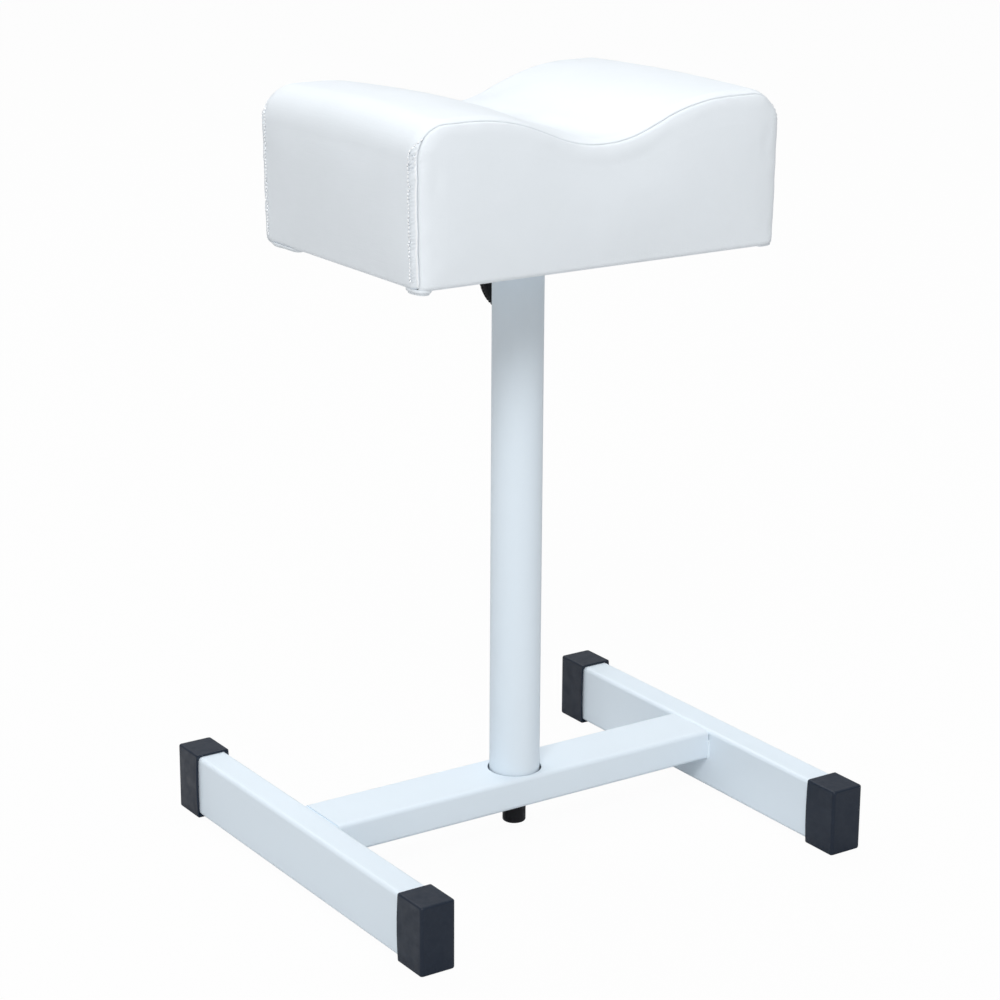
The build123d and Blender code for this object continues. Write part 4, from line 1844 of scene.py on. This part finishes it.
    def strip_grid(self) -> tuple[Array, Array, Array]:
        """Points of the finished strip.

        Returns:
            The distances along the outline, the places along the depth, and the points.
        """
        fine, _ = self.samples(0.75, 1.1, 3.0)
        hem_end = self.outline.lengths[-1]
        _, _, _, side_end, roll_end = self.corner_marks
        roll = np.linspace(side_end, roll_end, 7)[1:]
        hem = np.linspace(roll_end, hem_end, 7)[1:]
        outer = np.concatenate([roll, hem])
        along = np.concatenate([-outer[::-1], fine, outer])
        rows = self.seam_rows()
        y = np.concatenate([-self.seam_plane + rows, (self.seam_plane - rows)[:-1][::-1]])
        points = self.strip_points(along, y)
        puff = self.between(self.puffs["strip"], (self.coarse_along, along), (self.coarse_y, y))
        points = points + puff * (np.abs(along) <= side_end + CLOSE)[:, None, None]
        normal = self.grid_normals(points)
        distance = np.concatenate([rows, rows[:-1][::-1]])
        height = self.groove(distance)[None] + self.gathers(along, distance)
        height += self.creases(along, distance, 1.0) * 1.15
        fade = (1 - smooth_step(np.abs(along), side_end - 4, side_end))[:, None]
        points = points + normal * (height * fade)[..., None]
        stray = self.wander(along)[:, None] * np.exp(-((distance[None] / 12.0) ** 2)) * fade
        points[..., 1] += stray * np.sign(y)[None]
        hem_share = np.clip((np.abs(along) - roll_end) / self.hem, 0, 1)[:, None]
        points[..., 1] *= 1 - hem_share * (self.hem - self.roll) / self.seam_plane
        return along, y, points

    def upright(self, along: Array) -> Array:
        """Share that is zero on the top and one where the seams run upright."""
        corner_end = self.corner_marks[2]
        return smooth_step(np.abs(along), corner_end - 14, corner_end)

    def seam_shade(self, along: Array, distance: Array) -> Array:
        """Painted shade in the seam's groove: how much darker the cover is there, and less so where
        it runs upright.
        """
        depth = 0.4 * np.exp(-((distance / 0.42) ** 2))
        return depth * (1 - 0.75 * self.upright(along))

    @staticmethod
    def store_painted_light(mesh: bpy.types.Mesh, shade: Array, edge: Array) -> None:
        """Keep painted shade and painted highlight on a mesh for the leather's colour.

        Args:
            mesh: The mesh.
            shade: How much painted shade the seams get at each point.
            edge: How much painted highlight the welt gets at each point.
        """
        for name, values in (("seam_shade", shade), ("seam_edge", edge)):
            store = mesh.attributes.new(name, "FLOAT", "POINT")
            store.data.foreach_set("value", np.ascontiguousarray(values, np.float32).ravel())

    def make_strip(self) -> None:
        """Make the strip, and the topstitched rows beside its upright seams."""
        along, y, points = self.strip_grid()
        drawn = np.abs(along) <= self.corner_marks[3] + CLOSE
        self.seams = {End.FRONT: points[drawn][:, 0], End.BACK: points[drawn][:, -1]}
        shell = Shell()
        shell.add_quads(shell.add_points(points))
        mesh = shell.mesh(sharp=60)
        self.face_out(mesh)
        u, distance = along[:, None], (self.seam_plane - np.abs(y))[None]
        upright = self.upright(u)
        # Painted shade in the seam's groove and in the dimples at the stitch holes.
        holes = 0.5 - 0.5 * self.stitch_wave(u)
        holes = holes * np.exp(-(((distance - self.row_at(u)) / 0.7) ** 2))
        shade = np.maximum(self.seam_shade(u, distance), 0.06 * holes * upright)
        # Painted highlight along the welt beside the upright seams.
        edge = 0.85 * upright * np.exp(-(((distance - 0.9) / 0.45) ** 2))
        self.store_painted_light(mesh, shade, edge)
        self.finish_cover(dress(mesh, "leather_strip", LEATHER, Body.HEAD, ["cover_strip"]))
        self.make_rows(along, points)

    def make_rows(self, along: Array, points: Array) -> None:
        """Make the topstitches of the four upright rows.

        Args:
            along: Distances along the outline.
            points: Points of the finished strip.
        """
        _, _, corner_end, side_end, _ = self.corner_marks
        first = corner_end - self.row_lead + self.stitch_pitch / 2 + 1.2
        normal = self.grid_normals(points)
        near = self.seam_rows()
        paths, facings = [], []
        for step in (1, -1):
            grid, out = points[:, ::step], normal[:, ::step]
            for sign in (-1, 1):
                reach = along * sign
                keep = np.nonzero((reach > first) & (reach < side_end - 2))[0]
                keep = keep[np.argsort(reach[keep])]
                place = np.interp(self.row_at(along[keep]), near, np.arange(len(near)))
                low = np.minimum(place.astype(int), len(near) - 2)
                share = (place - low)[:, None]
                facing = out[keep, low]
                row = grid[keep, low] * (1 - share) + grid[keep, low + 1] * share
                paths.append(row + facing * 0.5)
                facings.append(facing)
        stitches = Copies("topstitches", CopyShape.BEAD, 2.3, 1.15, 1.0, pitch=self.stitch_pitch,
                          sides=8, jitter=4, seed=41)
        dress(stitches.mesh(paths, facings, THREAD), "topstitch_rows", THREAD, Body.HEAD)

    def face_out(self, mesh: bpy.types.Mesh) -> None:
        """Turn an open sheet's faces away from the cushion's middle.

        Args:
            mesh: The sheet.
        """
        centre = Vector(self.middle * MM)
        total = sum(face.normal.dot(face.center - centre) * face.area for face in mesh.polygons)
        if total < 0:
            mesh.flip_normals()

    def finish_cover(self, piece: bpy.types.Object) -> None:
        """Args:
            piece: The sheet.
        """
        thick = piece.modifiers.new("leather_thickness", "SOLIDIFY")
        thick.thickness = self.thickness * MM
        thick.offset = -1.0

    def make_panel(self, end: End) -> None:
        """Make one end panel with its rolled bottom edge and its hem.

        Args:
            end: The panel's end.
        """
        along, split = self.samples(0.75, 1.1, 3.0)
        distances = np.array([0.0, 0.3, 0.6, 1.0, 1.6, 2.5, 3.6, 5.0, 6.8, 8.8, 11.0])
        ring = self.ring_points(along, distances, end)
        inner = self.inner_points(ring[-1], split)
        left, top, _ = stretches(along, split)
        coarse_left, coarse_top, _ = stretches(self.coarse_along, self.coarse_split)
        ring_puff, inner_puff = (self.puffs[f"{part}_{end.name}"] for part in ("ring", "inner"))
        inner = inner + self.between(inner_puff, (coarse_left, left), (coarse_top, top))
        ring = ring + self.between(
            ring_puff, (self.coarse_distances, distances), (self.coarse_along, along))
        fade = 1 - smooth_step(distances, 5.0, 10.0)[:, None]
        height = self.groove(distances)[:, None]
        height = height + self.creases(along, distances, -0.5).T * 0.2 * fade
        side_end = self.corner_marks[3]
        foot_fade = 1 - smooth_step(np.abs(along), side_end - 4, side_end)[None]
        ring = ring + self.grid_normals(ring) * (height * foot_fade)[..., None]
        stray = self.wander(along)[None] * np.exp(-((distances[:, None] / 12.0) ** 2))
        ring[..., 1] += stray * fade * foot_fade * end.value
        ring[0] = self.seams[end]
        shell = Shell()
        rows = shell.add_points(ring)
        shell.add_quads(rows)
        numbers = self.fill_panel(shell, rows[-1], inner, split)
        foot = np.concatenate([rows[:-1, 0], numbers[0], rows[:-1, -1][::-1]])
        self.add_foot(shell, foot, end)
        mesh = shell.mesh(sharp=60)
        self.face_out(mesh)
        # Painted shade in the seam's groove beside the strip.
        shade = np.zeros(shell.count)
        shade[rows] = self.seam_shade(along[None], distances[:, None])
        self.store_painted_light(mesh, shade, np.zeros(shell.count))
        name = end.name.lower()
        piece = dress(mesh, f"leather_{name}", LEATHER, Body.HEAD, [f"cover_{name}_panel"])
        self.finish_cover(piece)

    def add_foot(self, shell: Shell, edge: Numbers, end: End) -> None:
        """Roll a panel's bottom edge under the board and turn its hem in.

        Args:
            shell: The panel's points and faces.
            edge: Numbers of the points along its bottom edge.
            end: The panel's end.
        """
        start = np.concatenate(shell.points)[edge]
        rows = [edge]
        for turn in np.radians(np.linspace(0, 90, 6)[1:]):
            row = start.copy()
            row[:, 1] -= end.value * self.roll * (1 - math.cos(turn))
            row[:, 2] = start[:, 2] - self.roll * math.sin(turn)
            rows.append(shell.add_points(row))
        last = row
        hem_edge = end.value * (self.depth / 2 - self.hem)
        for share in (0.2, 0.4, 0.6, 0.8, 1.0):
            row = last.copy()
            row[:, 1] = last[:, 1] + (hem_edge - last[:, 1]) * share
            row[:, 0] = last[:, 0] * (1 - share * (self.hem - self.roll) / (self.width / 2))
            row[:, 2] = last[:, 2] + (self.bottom - last[:, 2]) * share
            rows.append(shell.add_points(row))
        shell.add_quads(np.array(rows))

    def make_fold(self, side: Side, end: End) -> None:
        """Make the folded tab under one corner, of two layers: short in front and longer behind.

        Args:
            side: The corner's side.
            end: The corner's end.
        """
        across, up = circle(1.0, 48).T
        shell = Shell()
        half_x, half_y = (7.6, 11.0) if end is End.FRONT else (6.4, 26.0)
        press = (1.0 if end is End.FRONT else 0.7) if side is Side.LEFT else 0.4
        loops = ((0.05, 0.0), (0.6, 0.0), (0.98, 0.0), (1.0, 0.5), (0.97, 0.85), (0.85, 1.0),
                 (0.4, 1.0), (0.05, 1.0))
        for size, high, low in ((1.0, 0.9, -1.7), (0.86, -1.3, -3.3)):
            rows = []
            for share, drop in loops:
                x = half_x * size * share * np.sign(across) * np.abs(across) ** 0.75
                y = half_y * size * share * np.sign(up) * np.abs(up) ** 0.9
                wave = 0.3 * np.sin(x * 0.5 + y * 0.23 + side.value + 2 * end.value)
                wave *= drop if size == 1.0 else 1.0
                x = self.width / 2 - 1.9 - half_x + x + 0.4 * np.sin(y * 0.3 + side.value)
                y = self.depth / 2 - 2.6 - half_y + y
                z = self.bottom + press * (high + (low - high) * drop + wave)
                rows.append(shell.add_points(np.column_stack([side.value * x, end.value * y, z])))
            shell.add_solid(np.array(rows))
        mesh = shell.mesh(sharp=70)
        self.store_painted_light(mesh, np.zeros(shell.count), np.zeros(shell.count))
        name = f"corner_fold_{end.name.lower()}_{side.name.lower()}"
        dress(mesh, name, LEATHER, Body.HEAD)

    def make_staples(self) -> None:
        """Make the staples that hold the hems on the board."""
        reach_x, reach_y = (size / 2 - self.hem + 8 for size in (self.width, self.depth))
        spots = [(x, sign * reach_y, 0.5, 0.0)
                 for x in np.linspace(-reach_x + 26, reach_x - 26, 9) for sign in (-1, 1)]
        spots += [(sign * reach_x, y, 0.0, 0.5)
                  for y in np.linspace(-reach_y + 26, reach_y - 26, 5) for sign in (-1, 1)]
        paths = [np.array([(x - dx, y - dy, self.bottom), (x + dx, y + dy, self.bottom)])
                 for x, y, dx, dy in spots]
        facings = [np.tile([0.0, 0.0, -1.0], (2, 1))] * len(paths)
        staples = Copies("hem_staples", CopyShape.BLOCK, 10.0, 1.1, 0.9, pitch=5.0, jitter=4,
                         seed=51)
        dress(staples.mesh(paths, facings, ZINC), "hem_staples", ZINC, Body.HEAD)

    def make_foam(self) -> None:
        """Make the foam block inside the cover."""
        inset = self.thickness + 0.6
        turn = np.radians(np.linspace(90, 0, 5))
        front = [(-(self.seam_plane + (self.setback - inset) * math.sin(a)),
                  inset + self.seam_draw + self.rounding * (1 - math.cos(a))) for a in turn]
        body = [(y, inset + self.seam_pull(y))
                for y in np.linspace(-self.seam_plane * 0.96, self.seam_plane * 0.96, 15)]
        stations = front + body + [(-y, draw) for y, draw in reversed(front)]
        reach = self.corner_marks[3] - (self.board_top - self.bottom - self.roll)
        along = np.linspace(-reach, reach, 180)
        flat, normal = self.outline.at(along)
        shell, rows = Shell(), []
        for y, draw in stations:
            x, z = (flat - normal * draw).T
            z = np.maximum(z - self.crown_drop(np.full_like(z, y), z), self.board_top)
            z[0] = z[-1] = self.board_top
            rows.append(shell.add_points(np.column_stack([x, np.full_like(x, y), z])))
        shell.add_solid(np.array(rows))
        piece = shell.piece("foam_block", FOAM, Body.HEAD, ["cushion_foam"])

    def build(self) -> None:
        """Make every piece of the cushion."""
        self.puff()
        self.make_foam()
        self.make_strip()
        for end in End:
            self.make_panel(end)
            for side in Side:
                self.make_fold(side, end)
        self.make_staples()


# Studio


@dataclass
class Studio:
    """Pale floor, soft light and the camera at the photograph's angle."""

    camera_place: Place = (-1.13284, -1.65765, 0.88435)
    yaw: float = 33.9841
    pitch: float = 16.9137
    roll: float = 0.3518
    focal_share: float = 2.71142
    sensor: float = 36.0
    world_level: float = 0.41
    world_colour: Colour = (0.985, 0.995, 1.0)
    floor_glow: float = 0.965
    floor_size: float = 60000.0
    floor_colour: Colour = (0.67, 0.67, 0.67)
    floor_cloud: Colour = (0.66, 0.66, 0.66)

    def make_camera(self) -> None:
        """Make the camera."""
        yaw, pitch, roll = (math.radians(a) for a in (self.yaw, self.pitch, self.roll))
        level = math.cos(pitch)
        forward = Vector((math.sin(yaw) * level, math.cos(yaw) * level, -math.sin(pitch)))
        right = Vector((math.cos(yaw), -math.sin(yaw), 0))
        up = right.cross(forward)
        across = right * math.cos(roll) + up * math.sin(roll)
        upward = up * math.cos(roll) - right * math.sin(roll)
        data = bpy.data.cameras.new("photo_camera")
        data.sensor_width = self.sensor
        data.sensor_fit = "HORIZONTAL"
        data.lens = self.focal_share * self.sensor
        data.clip_end = 50
        camera = add_object("photo_camera", data)
        turned = Matrix((across, upward, -forward)).transposed().to_4x4()
        camera.matrix_world = Matrix.Translation(self.camera_place) @ turned
        bpy.context.scene.camera = camera

    @staticmethod
    def seen_white(tree: bpy.types.NodeTree) -> Socket:
        """Add nodes that tell camera and transmission rays from all others.

        Args:
            tree: The node tree that they are added to.

        Returns:
            The socket that is one for these rays and zero for others.
        """
        paths = add_node(tree, "ShaderNodeLightPath").outputs
        inputs = {0: paths["Is Camera Ray"], 1: paths["Is Transmission Ray"]}
        either = add_node(tree, "ShaderNodeMath", inputs, operation="MAXIMUM")
        return either.outputs["Value"]

    def make_floor(self) -> None:
        """Make the floor, which the camera sees as white with a faint shadow."""
        shell = Shell()
        outline = rounded_rectangle(self.floor_size, self.floor_size, 400)
        shell.skin([(outline, low) for low in (-2.0, -0.3)])
        shading = Shading("pale_floor")
        tone = shading.spread(shading.noise(400, 2), 0.0, 1.0)
        colour = shading.mix(tone, self.floor_colour, self.floor_cloud)
        roughness = shading.spread(shading.noise(60, 3), 0.75, 0.9)
        shading.finish(colour, roughness, shading.relief(shading.noise(5, 2), 0.02))
        glow = shading.node("ShaderNodeEmission", {"Strength": 1.0})
        inputs = {0: self.seen_white(shading.tree), 1: self.floor_glow}
        share = shading.node("ShaderNodeMath", inputs, operation="MULTIPLY")
        blend = shading.node("ShaderNodeMixShader", {
            "Fac": share.outputs["Value"], 1: shading.surface.outputs["BSDF"],
            2: glow.outputs["Emission"]})
        shading.tree.links.new(blend.outputs["Shader"], shading.output.inputs["Surface"])
        mesh = shell.mesh()
        mesh.materials.append(shading.material)
        add_object("studio_floor", mesh)

    def make_world(self) -> None:
        """Make the pale surroundings: white to the camera, and an even soft light otherwise."""
        world = bpy.data.worlds.new("soft_surroundings")
        bpy.context.scene.world = world
        world.use_nodes = True
        tree = world.node_tree
        tree.nodes.clear()
        light = add_node(tree, "ShaderNodeBackground", {
            "Color": (*self.world_colour, 1), "Strength": self.world_level})
        white = add_node(tree, "ShaderNodeBackground", {"Color": (1, 1, 1, 1), "Strength": 1.0})
        blend = add_node(tree, "ShaderNodeMixShader", {
            "Fac": self.seen_white(tree), 1: light.outputs["Background"],
            2: white.outputs["Background"]})
        add_node(tree, "ShaderNodeOutputWorld", {"Surface": blend.outputs["Shader"]})

    def make_lamp(self, name: str, place: Place, size: float, power: float) -> None:
        """Make a soft square lamp that faces the cushion.

        Args:
            name: Its name.
            place: Where it hangs, in metres.
            size: Its width in metres.
            power: Its power in watts.
        """
        data = bpy.data.lights.new(name, "AREA")
        data.size = size
        data.energy = power
        lamp = add_object(name, data)
        lamp.location = place
        aim = Vector((0, 0, 0.4)) - Vector(place)
        lamp.rotation_euler = aim.to_track_quat("-Z", "Y").to_euler()

    def build(self) -> None:
        """Make the studio."""
        bpy.context.scene.view_settings.view_transform = "Standard"
        self.make_camera()
        self.make_floor()
        self.make_world()
        self.make_lamp("front_lamp", (-2.02, -2.49, 3.2), 1.5, 91.0)
        self.make_lamp("key_lamp", (-0.3, -1.6, 5.8), 3.0, 30.0)
        self.make_lamp("back_lamp", (0.6, 3.0, 5.6), 4.0, 140.0)


def main() -> None:
    """Build the footrest and its studio."""
    logging.basicConfig(level=logging.INFO, format="%(name)s: %(message)s")
    Studio().build()
    for kind in (FloorBase, PostFastening, Post, HandClamp, Column, SeatPlate, Cushion):
        LOG.info("%s", kind.__name__)
        kind().build()


if __name__ == "__main__":
    main()
